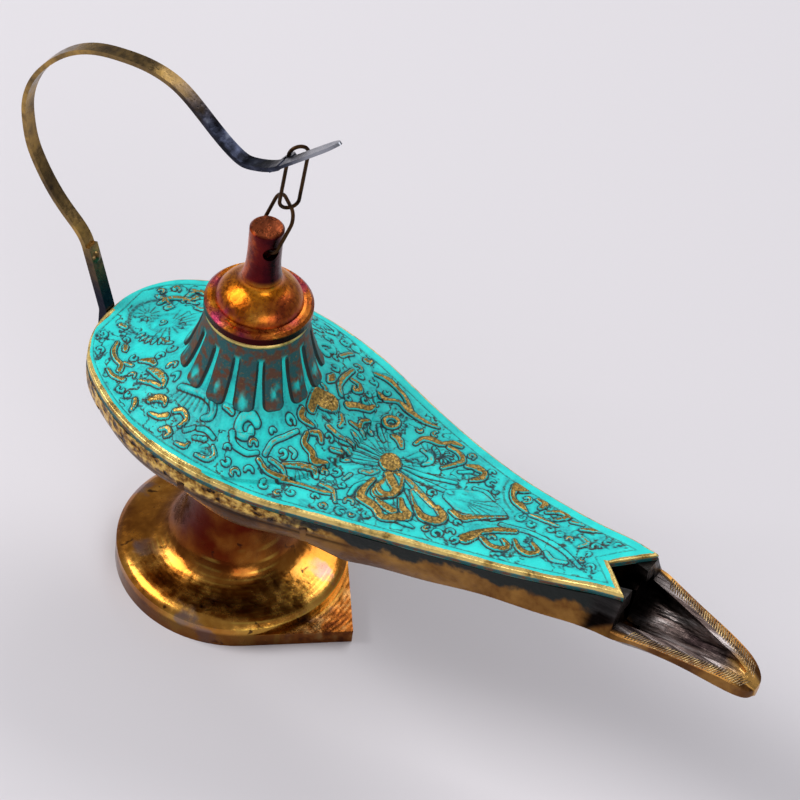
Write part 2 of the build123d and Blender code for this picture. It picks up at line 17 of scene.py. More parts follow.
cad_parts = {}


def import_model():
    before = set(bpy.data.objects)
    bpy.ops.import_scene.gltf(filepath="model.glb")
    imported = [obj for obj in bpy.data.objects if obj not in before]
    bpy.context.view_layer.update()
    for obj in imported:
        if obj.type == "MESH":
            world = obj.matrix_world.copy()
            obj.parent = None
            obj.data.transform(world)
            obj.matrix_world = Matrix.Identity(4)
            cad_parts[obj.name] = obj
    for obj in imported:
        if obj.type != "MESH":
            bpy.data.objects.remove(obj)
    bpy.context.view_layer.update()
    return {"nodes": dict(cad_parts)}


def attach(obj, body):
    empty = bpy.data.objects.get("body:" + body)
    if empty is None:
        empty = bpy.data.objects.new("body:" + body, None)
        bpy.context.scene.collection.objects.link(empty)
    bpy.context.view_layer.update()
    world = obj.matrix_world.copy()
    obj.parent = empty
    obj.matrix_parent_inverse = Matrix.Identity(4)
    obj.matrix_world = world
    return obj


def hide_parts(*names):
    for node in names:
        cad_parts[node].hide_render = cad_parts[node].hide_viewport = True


MM = 0.001

# Camera of the photograph
CAMERA_AZIMUTH = math.radians(26.6)
CAMERA_ELEVATION = math.radians(45.6)
CAMERA_ROLL = math.radians(8.85)
PHOTO_PIXELS = 800
FOCAL_PIXELS = 3500
SENSOR_WIDTH = 36.0
ANCHOR_POINT = Vector((0, 0, 92.1))
ANCHOR_PIXEL = (259.5, 297.9)
PIXELS_PER_MM = 4.27
CAMERA_CLIP = (0.01, 20)

# Cover and neck. The plate's own rows start at the grid circle, the flutes are turned by this many
# degrees and fade between two heights, and the strip worn bright along the rim has a near and a far
# width.
COVER_THICKNESS = 2.2
NECK_TOP = 88.6
BORE_RADIUS = 9.58
NECK_RADIUS = 12.0
LIP_RADIUS = 12.5
LIP_HEIGHT = 1.2
GRID_CIRCLE = 21.0
FLUTES = 14
FLUTE_TURN = 0.9
FLUTE_RELIEF = 0.8
FLUTE_FOOT = 70.9
FLUTE_FADE = (82.0, 85.6)
HOLLOW_TOP = 84.6
ORNAMENT_FROM = 16.6
EDGE_ROUND = 0.55
BORDER_WIDTH = 2.2
NEAR_STRIP = 1.25
FAR_STRIP = 0.45
RELIEF = 0.62
RECESS = 0.20

# Rim in plan and side view: x, half width, height
RIM = [
    (-41.3, 0.0, 62.9), (-41.2, 2.6, 62.9), (-40.3, 8.0, 62.9), (-38.3, 13.2, 62.9), (-34.5, 18.6, 62.9),
    (-28.5, 23.2, 62.9), (-20.0, 27.6, 62.9), (-10.0, 30.6, 62.7), (0.0, 31.6, 62.2), (10.0, 31.0, 61.9),
    (20.0, 29.3, 61.5), (31.0, 26.0, 61.32), (43.0, 22.2, 61.41), (55.0, 18.8, 61.9), (67.0, 15.8, 62.9),
    (79.0, 13.4, 64.6), (91.0, 11.1, 67.1), (101.0, 9.39, 69.8), (108.5, 8.0, 71.0),
]
NOTCH_APEX = 100.0

# Outside of the neck: radius, height
NECK = [
    (12.0, 87.5), (13.08, 82.13), (14.52, 76.98), (16.32, 72.36), (18.96, 69.06), (23.04, 66.56),
    (27.96, 63.92), (30.72, 61.67),
]


def smooth(edge0, edge1, value):
    """0 before the first edge, 1 past the second and eased between."""
    t = np.clip((value - edge0) / (edge1 - edge0), 0, 1)
    return t * t * (3 - 2 * t)


def curve_through(points, count):
    """Points on a smooth curve through the given ones, spaced evenly by parameter."""
    p = np.array(points, float)
    n = len(p)
    if n == 1:
        return np.repeat(p, count, axis=0)
    ext = np.vstack([2 * p[0] - p[1], p, 2 * p[-1] - p[-2]])
    s = np.linspace(0, n - 1 - 1e-9, count)
    k = s.astype(int)
    t = (s - k)[:, None]
    a, b, c, d = ext[k], ext[k + 1], ext[k + 2], ext[k + 3]
    return 0.5 * (2 * b + (c - a) * t + (2 * a - 5 * b + 4 * c - d) * t ** 2
                  + (3 * b - a - 3 * c + d) * t ** 3)


HASH_WEIGHTS = (127.1, 311.7, 74.7)
HASH_SCALE = 43758.5453
NOISE_LAYERS = 4
LAYER_SEED_STEP = 13


def hashed(x, y, seed):
    """A number from 0 to 1 that looks drawn at random and is always the same for x, y and seed."""
    along, across, drawn = HASH_WEIGHTS
    v = np.sin(x * along + y * across + seed * drawn) * HASH_SCALE
    return v - np.floor(v)


def value_noise(x, y, size, seed):
    """Smooth noise from 0 to 1 with features of about that size."""
    u, v = x / size, y / size
    iu, iv = np.floor(u), np.floor(v)
    fu, fv = u - iu, v - iv
    fu, fv = fu * fu * (3 - 2 * fu), fv * fv * (3 - 2 * fv)
    a, b = hashed(iu, iv, seed), hashed(iu + 1, iv, seed)
    c, d = hashed(iu, iv + 1, seed), hashed(iu + 1, iv + 1, seed)
    return (a + (b - a) * fu) + ((c + (d - c) * fu) - (a + (b - a) * fu)) * fv


def layered_noise(x, y, size, seed):
    """Smooth noise from 0 to 1 with finer noises laid on it."""
    total, weight = 0, 0
    for k in range(NOISE_LAYERS):
        share = 0.5 ** k
        total = total + value_noise(x, y, size * share, seed + k * LAYER_SEED_STEP) * share
        weight += share
    return total / weight


def ring(x, y, radius, start=0.0, sweep=360.0, growth=0.0, count=14):
    """Points of a circle or of a spiral round (x, y)."""
    points = []
    for k in range(count):
        part = k / (count - 1)
        angle = math.radians(start + sweep * part)
        reach = radius + growth * part
        points.append((x + reach * math.cos(angle), y + reach * math.sin(angle)))
    return points


# Ornament strokes on the cover. Each has a kind, a relief share, a gold share, its points (x, y) and
# its half widths along the way. "solid" is a rounded ridge, "rimmed" a leaf with a raised outline, and
# "cut" a groove.
ORNAMENT = [
    # boss of the large flower, and the rays to both sides of it
    ("solid", 1.2, 1, [(39.6, 1.2), (40.4, 0.6)], [2.5, 2.5]),
    ("solid", 0.5, 0.15, [(43.5, 1.6), (49, 2.6), (56, 4.8)], [0.5, 0.6, 0.4]),
    ("solid", 0.5, 0.10, [(43.6, 0.4), (50, 0.6), (57, 1.2)], [0.5, 0.6, 0.4]),
    ("solid", 0.7, 0.55, [(43.2, -0.6), (47, -1.4), (51, -3), (56, -5)], [0.5, 0.6, 0.7, 0.6]),
    ("solid", 0.5, 0.15, [(48, -4.2), (51.5, -6.8), (54, -9)], [0.4, 0.5, 0.4]),
    ("solid", 0.6, 0.45, [(36, -5.6), (38, -4.6), (39, -3.2)], [0.5, 0.8, 0.5]),
    ("solid", 0.5, 0.20, [(30.5, -4.6), (34, -3.2), (37.6, -1.4)], [0.4, 0.5, 0.4]),
    ("solid", 0.5, 0.20, [(28, -2.6), (31, -0.4), (36.8, 0.6)], [0.4, 0.5, 0.4]),
    ("solid", 0.5, 0.20, [(30, 1.2), (33, 1.6), (37, 1.8)], [0.4, 0.5, 0.4]),
    ("solid", 0.5, 0.20, [(31, 9.6), (33, 7.4), (34.8, 6)], [0.4, 0.5, 0.4]),
    ("solid", 0.7, 0.75, [(35.8, 8.8), (37.6, 8.6), (39.4, 6.8)], [0.6, 0.9, 0.5]),
    # near palmette
    ("rimmed", 1, 1, [(43.8, -3), (44.2, -6), (43.2, -8.6)], [2.2, 3, 2]),
    ("solid", 1, 1, [(41.6, -2.6), (43.6, -4), (45.6, -5.6), (46, -7.6), (43.8, -8.6), (41.4, -7.2)],
     [0.9, 1.1, 0.9, 0.9, 0.7, 0.5]),
    ("solid", 1, 1, [(39.8, -6), (39.6, -9.4), (40.4, -12.6), (43, -13), (45.6, -13.6), (48, -15.2),
                     (50.2, -13.6), (52.6, -11.2), (50.4, -9.8), (48.4, -7.6)],
     [0.5, 0.8, 1.2, 1.1, 1, 0.8, 1.2, 1.3, 0.9, 0.5]),
    ("solid", 0.8, 0.8, [(44, -11), (46.6, -11.6), (49, -11.8)], [0.5, 0.9, 1]),
    ("rimmed", 1, 1, [(49.4, -3.6), (53, -5.8), (57.2, -7.6)], [0.8, 2, 2.6]),
    ("solid", 1, 1, [(56.8, -4.8), (59.6, -6.6), (58.8, -8.8), (55.6, -9.4), (52.8, -7.8)],
     [0.7, 1.1, 1.2, 1, 0.6]),
    ("solid", 0.5, 0.3, [(38, -13.4), (37.6, -10.6), (38.6, -8)], [0.5, 0.5, 0.4]),
    ("solid", 0.5, 0.5, [(34.6, -8), (34.2, -10.2)], [0.4, 0.3]),
    # far palmette
    ("solid", 1, 0.9, [(41.4, 9.8), (42, 12.4), (43.8, 13.4), (46.4, 13.6), (48.4, 15.4), (50.6, 15.8)],
     [0.4, 0.7, 0.9, 0.6, 0.8, 0.5]),
    ("solid", 0.9, 0.8, [(48.4, 13.8), (51.4, 13.6), (53.4, 12), (52.6, 9.8), (50.8, 7)],
     [0.5, 0.6, 0.8, 0.6, 0.4]),
    ("solid", 0.6, 0.4, [(43.8, 9.2), (46.6, 8.6), (47.4, 7), (46.6, 5.2)], [0.4, 0.6, 0.7, 0.4]),
    ("solid", 0.5, 0.2, [(45.6, 11.6), (47, 10.8), (48, 9.6)], [0.4, 0.5, 0.4]),
    ("solid", 0.5, 0.2, [(49, 12), (50, 10.4), (50.4, 8.8)], [0.4, 0.5, 0.4]),
    ("solid", 0.9, 0.8, [(55.2, 11), (57.4, 11.8), (59.8, 11.4), (60.2, 9.6), (58.6, 7.4)],
     [0.5, 1, 0.7, 1, 0.4]),
    ("solid", 0.5, 0.3, [(54.8, 8.4), (57, 10)], [0.4, 0.5]),
    ("cut", 0.6, 0, [(52, 4.2), (56, 6.2), (59, 8.6)], [0.4, 0.5, 0.4]),
    # leaf on the middle line
    ("rimmed", 0.8, 0.35, [(57.6, 0.6), (63, 1), (68, 1.2), (72, 1.6)], [2, 4.4, 2.8, 0.3]),
    ("solid", 0.8, 0.8, [(60.2, -3.8), (63.6, -4.2), (66.4, -2), (71.6, 1.4)], [0.6, 1, 0.7, 0.3]),
    ("cut", 0.5, 0, [(59, 0.4), (64, 1.4), (69, 1.6)], [0.3, 0.4, 0.2]),
    ("cut", 0.4, 0, [(60, 3.4), (63.6, 3)], [0.3, 0.3]),
    ("cut", 0.4, 0, [(60, -1.8), (64, -1.2)], [0.3, 0.3]),
    ("solid", 0.5, 0.3, [(60.6, 5.8), (63.6, 6.2), (66.4, 5)], [0.4, 0.5, 0.3]),
    # near spray
    ("solid", 1, 1, [(67.6, -9.6), (68.4, -8), (69.6, -5.6), (72.4, -3.2), (76, -1.4)],
     [1.6, 1.4, 0.8, 0.8, 0.7]),
    ("solid", 0.9, 0.9, [(70.4, -7.2), (73.6, -8.6), (76.4, -8), (77.2, -6.6), (75, -5.2)],
     [0.5, 0.7, 0.8, 0.7, 0.4]),
    ("solid", 0.9, 0.9, [(77.4, -4), (80, -6), (82.8, -6.2), (84, -4.6), (81.4, -2.8)],
     [0.4, 0.7, 0.8, 0.7, 0.4]),
    ("solid", 0.6, 0.4, [(85.6, -3.8), (88.4, -5.4), (91.6, -4.8)], [0.4, 0.6, 0.4]),
    ("solid", 0.5, 0.1, [(72, -1), (80, 0.2), (88, -1.2), (95, -4.6)], [0.5, 0.5, 0.5, 0.4]),
    ("cut", 0.5, 0, [(66, -5), (71, -1.6), (78, 0)], [0.4, 0.5, 0.4]),
    # far spray
    ("solid", 1, 1, [(68.4, 12), (69.8, 11.8), (71.2, 12.2)], [1.1, 1.3, 0.9]),
    ("solid", 1, 1, [(68.6, 11.4), (69, 9.2), (70.6, 7.4), (73, 6.6), (75, 5.6)],
     [1.1, 0.6, 0.6, 0.8, 0.3]),
    ("solid", 0.8, 0.7, [(76, 5.2), (79, 5.4), (83.6, 5.2)], [0.3, 0.5, 0.3]),
    ("solid", 0.9, 1, [(75, 10.6), (77.2, 10.2), (77, 8.6)], [0.4, 0.9, 0.6]),
    ("solid", 0.9, 0.8, [(79, 8), (81.6, 9.6), (84, 9.2), (82.8, 7.4), (81.4, 6.4)],
     [0.4, 0.6, 0.8, 0.5, 0.3]),
    ("solid", 0.6, 0.5, [(85.6, 8), (88.4, 8.4)], [0.4, 0.3]),
    ("solid", 0.7, 0.7, [(88.8, 6.8), (91.4, 7.8), (94.6, 8.8)], [0.4, 0.7, 0.4]),
    ("solid", 0.6, 0.5, [(89.6, 4.8), (92.4, 3.4), (91.4, 1.2)], [0.4, 0.6, 0.4]),
    ("cut", 0.6, 0, [(65.6, 13.6), (66.2, 10), (68.4, 6.6), (72.4, 4)], [0.5, 0.5, 0.5, 0.4]),
    # near leaf under the neck
    ("solid", 0.8, 0.7, [(16.6, -20.6), (19.6, -21.2), (23.8, -19.6), (28, -18), (32.4, -17),
                         (35, -15.6)], [0.5, 0.5, 0.6, 0.5, 0.5, 0.4]),
    ("solid", 0.8, 0.6, [(30.8, -15.2), (34, -15), (36.6, -17.6)], [0.4, 0.6, 0.3]),
    ("solid", 0.7, 0.6, [(21.6, -17.6), (25, -14.6), (27.6, -13), (28.8, -14)], [0.4, 0.6, 0.7, 0.4]),
    ("solid", 0.6, 0.4, [(19.6, -9.4), (18.2, -12.6), (16.8, -15.4), (17, -18.6)], [0.4, 0.5, 0.5, 0.5]),
    ("solid", 0.6, 0.5, [(18.6, -18.8), (21.8, -18.4), (23.4, -19.2)], [0.4, 0.5, 0.3]),
    ("solid", 0.5, 0.4, [(20.8, -13.6), (22.2, -13.6), (22.4, -14.6)], [0.4, 0.4, 0.3]),
    ("solid", 0.9, 0.9, [(21.6, -8), (22.4, -10.2), (25, -10.6), (26.4, -11.6), (28.8, -9.6)],
     [0.5, 0.7, 0.8, 0.9, 0.4]),
    ("solid", 0.8, 0.7, [(22, -7), (23.6, -5.6), (25, -6.8)], [0.5, 0.7, 0.5]),
    ("solid", 0.8, 0.6, [(27.6, -6.2), (29.6, -4.6)], [0.4, 0.5]),
    ("solid", 0.7, 0.6, [(24, -2.4), (27, -2), (29.6, -0.6)], [0.6, 0.5, 0.3]),
    ("solid", 0.7, 0.7, [(24.2, 2.8), (25.4, 1.6), (25.6, 0.2)], [0.5, 0.6, 0.4]),
    # disc by the neck
    ("solid", 1.1, 1, [(20.6, 2.8), (19.2, 1.6)], [2.4, 2.3]),
    ("solid", 0.9, 0.9, [(18.2, 0.4), (19, -2.6)], [1, 0.9]),
    ("solid", 0.8, 0.8, [(18, -4.6), (18.6, -6), (21.4, -5.4)], [0.6, 0.8, 0.4]),
    # far leaf and tendrils
    ("solid", 0.9, 0.8, [(21, 23.2), (24.6, 23.6), (28, 22.6), (31.8, 20.8), (34.4, 18.2)],
     [0.4, 0.7, 0.5, 0.5, 0.9]),
    ("solid", 0.9, 0.8, [(25.2, 18.4), (27.6, 17.6), (30.6, 19), (34.2, 18), (38.8, 17.4), (43, 17.8)],
     [0.4, 0.7, 0.5, 0.8, 0.6, 0.2]),
    ("solid", 0.9, 0.8, ring(33, 12.2, 1.7), [0.55]),
    ("solid", 0.9, 0.8, [(19.8, 14.2), (21.6, 14.6), (22.8, 13.4), (22.2, 11.8), (21.4, 12.8)],
     [0.5, 0.6, 0.7, 0.6, 0.3]),
    ("solid", 0.8, 0.6, [(18, 17.2), (18.4, 12.6), (19.2, 9.4), (21, 7.4)], [0.5, 0.7, 0.6, 0.5]),
    ("solid", 0.9, 1, [(27.4, 13), (27, 10.8), (25, 8.4), (23.8, 6.6)], [0.5, 0.8, 0.9, 1]),
    ("solid", 0.8, 0.8, [(29, 8.2), (28.2, 6.4), (28.6, 4.4), (26.8, 3.4)], [0.4, 0.5, 0.6, 0.4]),
    ("solid", 0.7, 0.7, [(17.6, 24.6), (18, 26)], [0.9, 0.6]),
    ("solid", 0.6, 0.6, [(13.6, 18.6), (14.2, 22.6)], [0.5, 0.6]),
    # scroll and comb at the near side of the neck
    ("solid", 1, 0.35, ring(10.4, -17.2, 2.7, 60, 330, -1.6), [0.8, 0.9, 0.7]),
    ("solid", 0.8, 0.25, [(8, -19.6), (10, -21.4), (13.4, -21.2), (15.4, -19.6)], [0.6, 0.6, 0.5, 0.4]),
    ("solid", 0.8, 0.35, [(-9.6, -16.4), (-6, -16.8), (-2.2, -17), (0.8, -17.8), (1.6, -19.4),
                          (0.2, -20.4)], [0.5, 0.5, 0.5, 0.6, 0.7, 0.5]),
    ("solid", 0.7, 0.5, [(3.4, -16.8), (5.8, -16.8)], [0.4, 0.4]),
    # flower at the near side
    ("solid", 0.9, 0.8, [(-7, -21.6), (-5.2, -21), (-3.2, -22.2), (-3.8, -24.2)], [0.6, 0.6, 0.5, 0.4]),
    ("solid", 0.8, 0.7, [(-7.4, -26.6), (-6.2, -25.8), (-4.8, -26.6), (-5.4, -27.6)],
     [0.4, 0.5, 0.6, 0.3]),
    ("solid", 0.7, 0.7, [(-2.2, -27.8), (0, -27.6), (0.6, -26.6)], [0.3, 0.5, 0.3]),
    ("solid", 0.7, 0.5, [(3.6, -27.8), (6.4, -27.4), (7.4, -25.8), (6, -24.4)], [0.3, 0.5, 0.5, 0.3]),
    ("solid", 0.5, 0.2, [(-2, -24.4), (-0.4, -23)], [0.5, 0.4]),
    ("solid", 0.5, 0.2, [(0.6, -22.8), (2.4, -22.2), (5, -22.8)], [0.4, 0.5, 0.4]),
    ("solid", 0.5, 0.2, [(1, -24.8), (3.4, -24)], [0.4, 0.5]),
    # leaves at the near back
    ("solid", 0.9, 0.9, [(-14.4, -21.2), (-13, -20.2), (-11, -20.2), (-10.2, -21.2)],
     [0.8, 0.9, 0.7, 0.4]),
    ("solid", 0.9, 0.9, [(-18, -22.2), (-17.2, -23.4), (-17, -25)], [0.5, 0.6, 0.4]),
    ("solid", 0.9, 0.8, [(-12.4, -24.2), (-10, -24.2), (-8.2, -23.4)], [0.3, 0.6, 0.8]),
    ("solid", 0.9, 0.6, [(-20.2, -13.6), (-17.4, -14.2), (-14.6, -15.6), (-13.6, -17.2)],
     [0.5, 1, 0.8, 0.4]),
    ("solid", 0.8, 0.7, [(-20.4, -17.2), (-17.4, -17), (-14.4, -17.4)], [0.4, 0.6, 0.5]),
    ("solid", 0.8, 0.7, [(-24, -11.6), (-21.6, -11.2), (-19.8, -12)], [0.5, 0.9, 0.5]),
    ("solid", 0.8, 0.8, [(-33, -8.6), (-32, -11.6), (-30, -13.4), (-27.8, -14.2), (-27, -16)],
     [0.4, 0.6, 0.6, 0.6, 0.7]),
    ("solid", 0.8, 0.8, [(-29.4, -17.4), (-27.2, -18.4), (-24.4, -18.2)], [0.4, 0.6, 0.6]),
    ("solid", 0.7, 0.7, [(-27.6, -13.4), (-25.2, -13.6)], [0.4, 0.4]),
    ("solid", 0.7, 0.7, [(-30.6, -8.6), (-30, -9.6)], [0.7, 0.6]),
    # back medallion
    ("solid", 0.7, 0.5, [(-34.8, 10.4), (-32.4, 10.6), (-30.4, 10)], [0.5, 0.6, 0.3]),
    ("solid", 0.7, 0.5, [(-28.8, 12.8), (-29, 16), (-27.8, 18.6)], [0.4, 0.5, 0.3]),
    ("solid", 0.6, 0.4, [(-30, -3.2), (-28, -4.4), (-25.8, -4.6)], [0.4, 0.6, 0.4]),
    ("solid", 0.6, 0.5, [(-24.2, -3.4), (-22.2, -4.4), (-20.4, -4.6)], [0.4, 0.6, 0.4]),
    ("solid", 0.6, 0.6, [(-35.8, -3.2), (-34.6, -3.2)], [0.7, 0.6]),
    ("cut", 0.7, 0, ring(-29.5, 3.6, 7.2, 100, 200), [0.6]),
    ("cut", 0.5, 0, ring(-27, 3, 4, 60, 260), [0.5]),
]

# Shares of a ray's half width at its foot, middle and tip
RAY_TAPER = (0.7, 1.0, 0.5)


def fan(x, y, inner, outer, start, stop, count, half, kind="cut", relief=0.7, gold=0.0):
    """Short rays round a point, such as the fringe of a shell, a comb or the veins of a petal."""
    strokes = []
    for k in range(count):
        angle = math.radians(start + (stop - start) * k / (count - 1))
        points = []
        for part in (0.0, 0.5, 1.0):
            reach = inner + (outer - inner) * part
            points.append((x + reach * math.cos(angle), y + reach * math.sin(angle)))
        strokes.append((kind, relief, gold, points, [half * share for share in RAY_TAPER]))
    return strokes


# Strokes wholly behind this x and nearer than this y also lie on the far side, with less gold
MIRRORED_BEHIND = 12.0
MIRRORED_BESIDE = -8.0
MIRRORED_GOLD = 0.7


def mirrored(strokes):
    """The strokes at the near side of the back, turned over to the far side."""
    return [(kind, relief, gold * MIRRORED_GOLD, [(x, -y) for x, y in points], widths)
            for kind, relief, gold, points, widths in strokes
            if max(x for x, y in points) < MIRRORED_BEHIND
            and max(y for x, y in points) < MIRRORED_BESIDE]


# Fringes and veins: centre, inner and outer radius, first and last angle, count and half width, then
# kind, relief and gold where they are raised
FANS = [
    (-4.5, -8.0, 9.8, 12.2, -118, -60, 9, 0.42),
    (-33.0, 4.0, 0.8, 3.4, 0, 330, 12, 0.35),
    (-26.0, 3.0, 2.2, 6.2, -95, 100, 11, 0.42),
    (-26.0, 3.0, 6.8, 8.6, -120, -60, 6, 0.4, "solid", 0.6, 0.3),
    (46.2, 8.6, 1.2, 4.2, 10, 150, 8, 0.30),
    (48.5, 10.5, 0.6, 2.6, -60, 40, 5, 0.26, "solid", 0.5, 0.15),
    (46.6, -9.2, 1.2, 3.9, -160, -20, 9, 0.28),
    (2.5, -27.0, 1.6, 3.4, 15, 160, 7, 0.30),
    (-13.6, -19.0, 1.4, 3.4, -140, -30, 6, 0.30),
    (40.0, 1.0, 3.2, 8.4, -34, 66, 9, 0.30),
    (40.0, 1.0, 3.4, 9.6, 128, 252, 13, 0.30),
    (40.0, 1.0, 9.8, 11.6, 150, 215, 6, 0.50, "solid", 0.6, 0.5),
    (60.0, 1.0, 2.0, 9.0, -24, 26, 6, 0.28),
    (19.6, 0.6, 2.2, 4.0, -70, 80, 8, 0.25),
    (33.0, 12.2, 2.6, 4.4, -150, 120, 9, 0.28),
    (24.0, -15.5, 1.0, 3.8, -60, 50, 5, 0.28),
    (76.0, -9.6, 1.0, 3.2, 30, 140, 6, 0.26),
    (79.0, 11.6, 1.0, 3.4, -130, -40, 6, 0.26),
]
for fringe in FANS:
    ORNAMENT += fan(*fringe)
ORNAMENT += mirrored(ORNAMENT)

# Fillers are tried on a grid from one corner of the cover. A pair is a least size and what chance adds.
FILLER_CORNER = (-41, -32)
FILLER_AREA = (152, 64)
FILLER_JITTER = (0.2, 0.6)
FILLER_MARGIN = 1.0
FILLER_RELIEF = 0.75
FILLER_GOLD = (0.2, 0.85)
GOLD_FROM_PICK = 0.62
TRACED_SAMPLES = 9
FILLER_SAMPLES = 7
LEAF_REACH = (1.7, 1.3)
LEAF_BOW = 0.5
LEAF_HALF = (0.55, 0.45)
LEAF_ENDS = (0.15, 0.12)
CURL_RADIUS = (0.75, 0.5)
CURL_SWEEP = (150, 150)
CURL_GROWTH = -0.45
CURL_POINTS = 7
CURL_WIDTHS = [0.2, 0.38, 0.26]


def varied(size, share):
    """The first of a pair with that share of the second added."""
    return size[0] + size[1] * share


def leaf(x, y, turn, picks):
    """Points and half widths of a small leaf."""
    length = varied(LEAF_REACH, picks[0])
    side = LEAF_BOW * length * (picks[1] - 0.5)
    c, s = math.cos(turn), math.sin(turn)
    points = [(x - c * length, y - s * length), (x - s * side, y + c * side),
              (x + c * length, y + s * length)]
    return points, [LEAF_ENDS[0], varied(LEAF_HALF, picks[2]), LEAF_ENDS[1]]


def curl(x, y, turn, picks):
    """Points and half widths of a small open curl."""
    points = ring(x, y, varied(CURL_RADIUS, picks[0]), math.degrees(turn), varied(CURL_SWEEP, picks[1]),
                  CURL_GROWTH, CURL_POINTS)
    return points, CURL_WIDTHS


# Rounds of fillers: form, pitch of the grid, distance kept from other strokes, seed
FILLERS = [(leaf, 4.0, 2.0, 51), (curl, 2.4, 1.25, 77)]


def place_fillers(strokes, form, pitch, keep_off, seed):
    """Small leaves or curls in the places that the traced ornament leaves free, as on the real cover."""
    taken = np.vstack([curve_through(points, TRACED_SAMPLES) for *_, points, _ in strokes])
    added = []
    for i in range(int(FILLER_AREA[0] / pitch)):
        for j in range(int(FILLER_AREA[1] / pitch)):
            pick = [float(hashed(i * 1.0, j * 1.0, seed + k)) for k in range(6)]
            x = FILLER_CORNER[0] + (i + FILLER_JITTER[0] + FILLER_JITTER[1] * pick[0]) * pitch
            y = FILLER_CORNER[1] + (j + FILLER_JITTER[0] + FILLER_JITTER[1] * pick[1]) * pitch
            points, widths = form(x, y, pick[2] * 2 * math.pi, pick[3:])
            px, py = np.array(points).T
            if border_distance(px, py).min() < BORDER_WIDTH + FILLER_MARGIN:
                continue
            if np.hypot(px, py).min() < ORNAMENT_FROM + FILLER_MARGIN:
                continue
            if np.hypot(taken[:, 0][:, None] - px, taken[:, 1][:, None] - py).min() < keep_off:
                continue
            gold = FILLER_GOLD[int(pick[5] > GOLD_FROM_PICK)]
            added.append(("solid", FILLER_RELIEF, gold, points, widths))
            taken = np.vstack([taken, curve_through(points, FILLER_SAMPLES)])
    return added


# Marks of a stroke. A pair is where a mark starts and ends to fade: for a groove and a leaf's rim as
# a share of the half width, for the others as the distance outside the stroke's side.
STROKE_SAMPLES = 22
STROKE_REACH = (1.3, 1.9)
OUT_OF_REACH = 9.0
TINY = 1e-9
CUT_SIDE = (0.4, 1.3)
CUT_DEPTH = 1.2
CUT_OUTLINE = 0.8
CUT_SHADE_SIDE = (0.0, 0.9)
CUT_SHADE = 0.55
RIDGE_SIDE = (-0.22, 0.20)
LEAF_RIM = (0.55, 0.85)
LEAF_LEVELS = (0.30, 0.70)
GOLD_SIDE = (-0.25, 0.02)
OUTLINE_START = (-0.05, 0.16)
OUTLINE_END = (0.22, 0.52)
OUTLINE_HIDDEN = 0.8
SHADE_START = (-0.2, 0.2)
SHADE_REACH = 0.85


def stroke_distance(px, py, line, half):
    """Least distance to a stroke's line as a share of its half width, and to its side."""
    best = np.full(px.shape, OUT_OF_REACH)
    gap = np.full(px.shape, OUT_OF_REACH)
    for a, b, wa, wb in zip(line[:-1], line[1:], half[:-1], half[1:]):
        d = b - a
        t = np.clip(((px - a[0]) * d[0] + (py - a[1]) * d[1]) / max(d @ d, TINY), 0, 1)
        away = np.hypot(px - a[0] - d[0] * t, py - a[1] - d[1] * t)
        w = wa + (wb - wa) * t
        best = np.minimum(best, away / w)
        gap = np.minimum(gap, away - w)
    return best, gap


def stroke_fields(x, y, strokes):
    """Relief, gold, outline and shade of the ornament at each point of the cover."""
    height, gold, edge, shade = (np.zeros_like(x) for _ in range(4))
    for kind, relief, gold_share, points, widths in strokes:
        line = curve_through(points, STROKE_SAMPLES)
        half = np.interp(np.linspace(0, 1, STROKE_SAMPLES), np.linspace(0, 1, len(widths)), widths)
        reach = half.max() * STROKE_REACH[0] + STROKE_REACH[1]
        near = ((x > line[:, 0].min() - reach) & (x < line[:, 0].max() + reach)
                & (y > line[:, 1].min() - reach) & (y < line[:, 1].max() + reach))
        if not near.any():
            continue
        best, gap = stroke_distance(x[near], y[near], line, half)
        if kind == "cut":
            groove = 1 - smooth(*CUT_SIDE, best)
            height[near] -= RECESS * CUT_DEPTH * relief * groove
            edge[near] = np.maximum(edge[near], groove * relief * CUT_OUTLINE)
            shade[near] = np.maximum(shade[near], (1 - smooth(*CUT_SHADE_SIDE, gap)) * CUT_SHADE)
            continue
        body = 1 - smooth(*RIDGE_SIDE, gap)
        if kind == "rimmed":
            body = body * (LEAF_LEVELS[0] + LEAF_LEVELS[1] * smooth(*LEAF_RIM, best))
        height[near] = np.maximum(height[near], RELIEF * relief * body)
        gold[near] = np.maximum(gold[near], gold_share * (1 - smooth(*GOLD_SIDE, gap)) * body)
        outline = smooth(*OUTLINE_START, gap) * (1 - smooth(*OUTLINE_END, gap))
        edge[near] = np.maximum(edge[near] * (1 - OUTLINE_HIDDEN * body), outline)
        halo = smooth(*SHADE_START, gap) * np.exp(-(gap / SHADE_REACH) ** 2)
        shade[near] = np.maximum(shade[near], halo)
    return height, gold, edge, shade


# Points worked out along a curve for its length, for the rim's places and for the neck's
FINE_SAMPLES = 400
RIM_SAMPLES = 200
NECK_SAMPLES = 120
# Share that turns a distance along Y or X into one square to the side or to the notch
SIDE_SLANT = 0.97
NOTCH_SLANT = 0.69


def length_along(points):
    """Length from the first of the points to each of them."""
    return np.concatenate([[0], np.cumsum(np.hypot(*np.diff(points, axis=0).T))])


